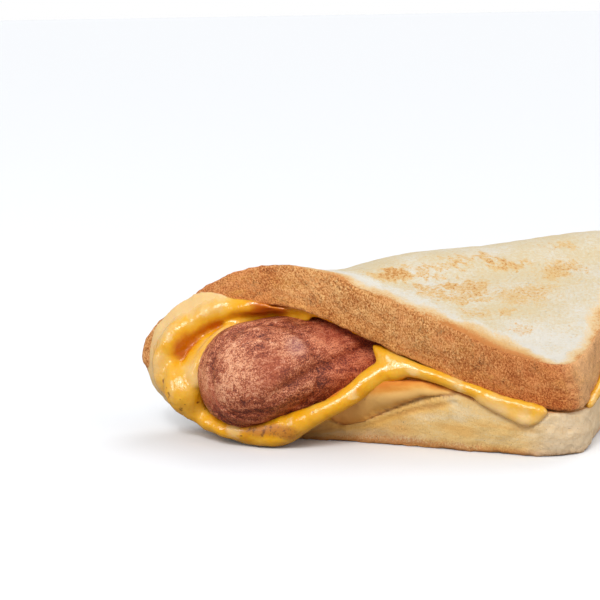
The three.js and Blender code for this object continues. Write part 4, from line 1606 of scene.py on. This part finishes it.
class HOTDOG_bread(bpy.types.PropertyGroup):
    """Sizes and colours of the bread"""
    crust_grain: measure("Crust, grain", "Height of the crust's finest grain", 0.13 * MM)
    crust_lumps: measure("Crust, lumps", "Height of the crust's small lumps", 0.38 * MM)
    crust_waves: measure("Crust, waves", "Height of the crust's long waves", 0.45 * MM)
    crumb_swells: measure("Crumb, swells", "Height of the crumb's broad swells", 0.45 * MM)
    crumb_dimples: measure("Crumb, dimples", "Depth of the crumb's dimples", 0.16 * MM)
    ragged_arris: measure("Arris, ragged", "How ragged the crust's edges are", 0.28 * MM)
    roll_bulge: measure("Roll, bulge", "How far the squeezed crumb stands out", 2.3 * MM)
    roll_lift: measure("Roll, lift", "How far the squeezed crumb rises", 1.5 * MM)
    crumb_colour: shade("Crumb", "White of the crumb", 229, 223, 211)
    cream_colour: shade("Cream", "Cream of the crumb", 222, 205, 168)
    warm_colour: shade("Warm", "Lightly toasted crumb", 226, 190, 130)
    toast_colour: shade("Toast", "Toasted patches", 212, 144, 64)
    speck_colour: shade("Specks", "Dark specks in the toasted patches", 176, 106, 44)
    border_dark: shade("Border, dark", "Where the crust meets the crumb", 206, 124, 58)
    border_gold: shade("Border, gold", "Further in from the crust", 228, 178, 112)
    border_pale: shade("Border, pale", "Where it fades into the crumb", 234, 206, 160)
    crust_dark: shade("Crust, dark", "Darkest crust", 166, 90, 38)
    crust_colour: shade("Crust", "Middle tone of the crust", 222, 150, 84)
    crust_light: shade("Crust, light", "Lightest crust", 255, 206, 140)
    crust_orange: shade("Crust, orange", "Orange patches and scorched arrises", 224, 140, 66)
    crust_brown: shade("Crust, brown", "Tint near the upper loose corner", 230, 194, 172)
    crust_golden: shade("Crust, golden", "Tint along its lower arris", 255, 232, 190)
    under_dark: shade("Lower crust, dark", "Darkest crust of the lower flap", 246, 196, 118)
    under_colour: shade("Lower crust", "Middle tone of the lower flap's crust", 252, 214, 144)
    # golden, and partly painted shade, where the lower crust comes out of the cheese
    under_golden_and_shade: shade("Lower crust, golden", "Tint where it comes out of the cheese", 236, 210, 180)
    under_light: shade("Lower crust, light", "Lightest crust of the lower flap", 248, 224, 180)
    flour_colour: shade("Flour", "Flour on the loose corners", 252, 228, 194)
    pit_colour: shade("Pits", "Pits in the crust", 96, 50, 26)
    roll_dark: shade("Roll, dark", "Squeezed crumb, darker", 226, 154, 66)
    # painted highlight along the roll's crest
    roll_highlight_colour: shade("Roll, crest", "Palest part of the squeezed crumb", 252, 204, 128)
    # painted shade at the roll's top and where it comes out of the cheese
    roll_shaded: shade("Roll, tint", "Tint where it comes out of the cheese", 240, 200, 150)
    # golden crust, partly painted shade under the roll
    strip_and_shade_colour: shade("Strip", "Golden crust below the squeezed crumb", 250, 196, 100)
    # painted shade along the groove
    groove_shade_colour: shade("Groove", "Line along the golden crust", 216, 146, 66)
    # painted shade in the crease under the squeezed crumb
    crease_shade_colour: shade("Crease", "Under the squeezed crumb", 160, 82, 28)
    roll_light: shade("Roll, light", "Squeezed crumb, lighter", 240, 186, 98)


class HOTDOG_sausage(bpy.types.PropertyGroup):
    """Sizes and colours of the sausage"""
    tip_droop: measure("Tip, droop", "How far each tip hangs", 1.3 * MM)
    fold_depth: measure("Folds", "Depth of the skin's folds", 0.42 * MM)
    skin_lumps: measure("Lumps", "Height of the skin's lumps", 0.35 * MM)
    fine_lumps: measure("Lumps, fine", "Height of the skin's fine lumps", 0.10 * MM)
    skin_colour: shade("Skin", "Middle tone of the skin", 184, 86, 44)
    dark_colour: shade("Skin, dark", "Darkest skin", 88, 22, 2)
    light_colour: shade("Skin, light", "Lightest skin", 252, 184, 140)
    red_colour: shade("Skin, red", "Redder patches", 186, 82, 44)
    # pale dry streaks, partly painted glints
    dry_and_glint_colour: shade("Skin, dry", "Pale dry streaks", 244, 198, 170)
    # painted shade of the lower side and under the bread
    low_shade_colour: shade("Skin, low", "Tint of the lower side", 238, 196, 178)
    grey_colour: shade("Skin, grey", "A greyish spot", 140, 110, 130)


class HOTDOG_cheese(bpy.types.PropertyGroup):
    """Sizes and colours of the cheese"""
    waves: measure("Waves", "Height of the waves on its surface", 0.45 * MM)
    ripples: measure("Ripples", "Height of the ripples on its surface", 0.16 * MM)
    cheese_colour: shade("Cheese", "Middle tone of the cheese", 236, 170, 18)
    # also the painted shade in the pocket and on sides facing the sausage
    deep_colour: shade("Cheese, deep", "Deepest tone of the cheese", 200, 104, 4)
    light_colour: shade("Cheese, light", "Lighter cheese", 236, 178, 56)
    pale_colour: shade("Cheese, pale", "Palest cheese, on the rim", 234, 196, 132)
    # pale bits and painted highlights
    bit_and_highlight_colour: shade("Bits", "Pale bits that did not melt", 250, 218, 160)
    toasted_colour: shade("Cheese, toasted", "Toasted cheese at the foot", 192, 120, 34)
    burnt_colour: shade("Cheese, burnt", "Dark specks in the toasted cheese", 120, 66, 24)


class HOTDOG_stage(bpy.types.PropertyGroup):
    """Size, colours and lights of the stage"""
    floor_size: measure("Floor", "Side of the floor", 6.0)
    floor_colour: shade("Floor", "Colour of the floor", 240, 242, 245)
    floor_bounce: shade("Floor, bounce", "Light that the floor throws back up", 158, 150, 142)
    ambient: light("Ambient", "Light from all round", 0.46)
    sunlight: light("Sunlight", "Strength of the soft main light", 1.5)
    fill: light("Fill", "Strength of the weak light from the right", 0.9)
    toplight: light("Top light", "Strength of the light from above", 0.8)
    softbox: light("Soft box", "Power of the lamp that makes gloss", 1.0)
    sidebox: light("Side box", "Power of the lamp beside the left end", 0.8)


class HOTDOG_OT_bread(bpy.types.Operator):
    """Makes the folded slice of bread"""
    bl_idname = "hotdog.bread"
    bl_label = "Bread"

    def execute(self, context):
        look = context.scene.hotdog_bread
        material = bread_material(look)
        finish_piece("folded_slice", make_bread_mesh(look), "bread", material)
        return {"FINISHED"}


class HOTDOG_OT_sausage(bpy.types.Operator):
    """Makes the sausage"""
    bl_idname = "hotdog.sausage"
    bl_label = "Sausage"

    def execute(self, context):
        look = context.scene.hotdog_sausage
        material = sausage_material(look)
        finish_piece("grilled_sausage", make_sausage_mesh(look), "sausage", material)
        return {"FINISHED"}


class HOTDOG_OT_cheese(bpy.types.Operator):
    """Makes the melted cheese"""
    bl_idname = "hotdog.cheese"
    bl_label = "Cheese"

    def execute(self, context):
        look = context.scene.hotdog_cheese
        material = cheese_material(look)
        finish_piece("melted_cheese", make_cheese_mesh(look), "cheese", material)
        return {"FINISHED"}


class HOTDOG_OT_stage(bpy.types.Operator):
    """Makes the floor, the lights and the camera"""
    bl_idname = "hotdog.stage"
    bl_label = "Stage"

    def execute(self, context):
        look = context.scene.hotdog_stage
        make_floor(look)
        make_world(look)
        for name, kind, location, energy, size in LAMPS:
            add_lamp(name, kind, location, getattr(look, energy), size)
        make_camera()
        context.scene.view_settings.view_transform = "Standard"
        return {"FINISHED"}


class HOTDOG_PT_panel(bpy.types.Panel):
    """Lists the pieces of the hot dog"""
    bl_label = "Hot dog"
    bl_idname = "HOTDOG_PT_panel"
    bl_space_type = "VIEW_3D"
    bl_region_type = "UI"
    bl_category = "Hot dog"

    def draw(self, context):
        for operator in OPERATORS:
            self.layout.operator(operator.bl_idname)


GROUPS = {
    "hotdog_bread": HOTDOG_bread,
    "hotdog_sausage": HOTDOG_sausage,
    "hotdog_cheese": HOTDOG_cheese,
    "hotdog_stage": HOTDOG_stage,
}
OPERATORS = (HOTDOG_OT_bread, HOTDOG_OT_sausage, HOTDOG_OT_cheese, HOTDOG_OT_stage)


def register():
    """Adds the groups of sizes and colours, the operators and the panel."""
    for name, group in GROUPS.items():
        bpy.utils.register_class(group)
        setattr(bpy.types.Scene, name, PointerProperty(type=group))
    for operator in OPERATORS:
        bpy.utils.register_class(operator)
    bpy.utils.register_class(HOTDOG_PT_panel)


def unregister():
    """Takes them away again."""
    bpy.utils.unregister_class(HOTDOG_PT_panel)
    for operator in reversed(OPERATORS):
        bpy.utils.unregister_class(operator)
    for name, group in reversed(GROUPS.items()):
        delattr(bpy.types.Scene, name)
        bpy.utils.unregister_class(group)


def main():
    """Makes the hot dog and its stage."""
    register()
    bpy.ops.hotdog.bread()
    bpy.ops.hotdog.sausage()
    bpy.ops.hotdog.cheese()
    bpy.ops.hotdog.stage()


if __name__ == "__main__":
    main()
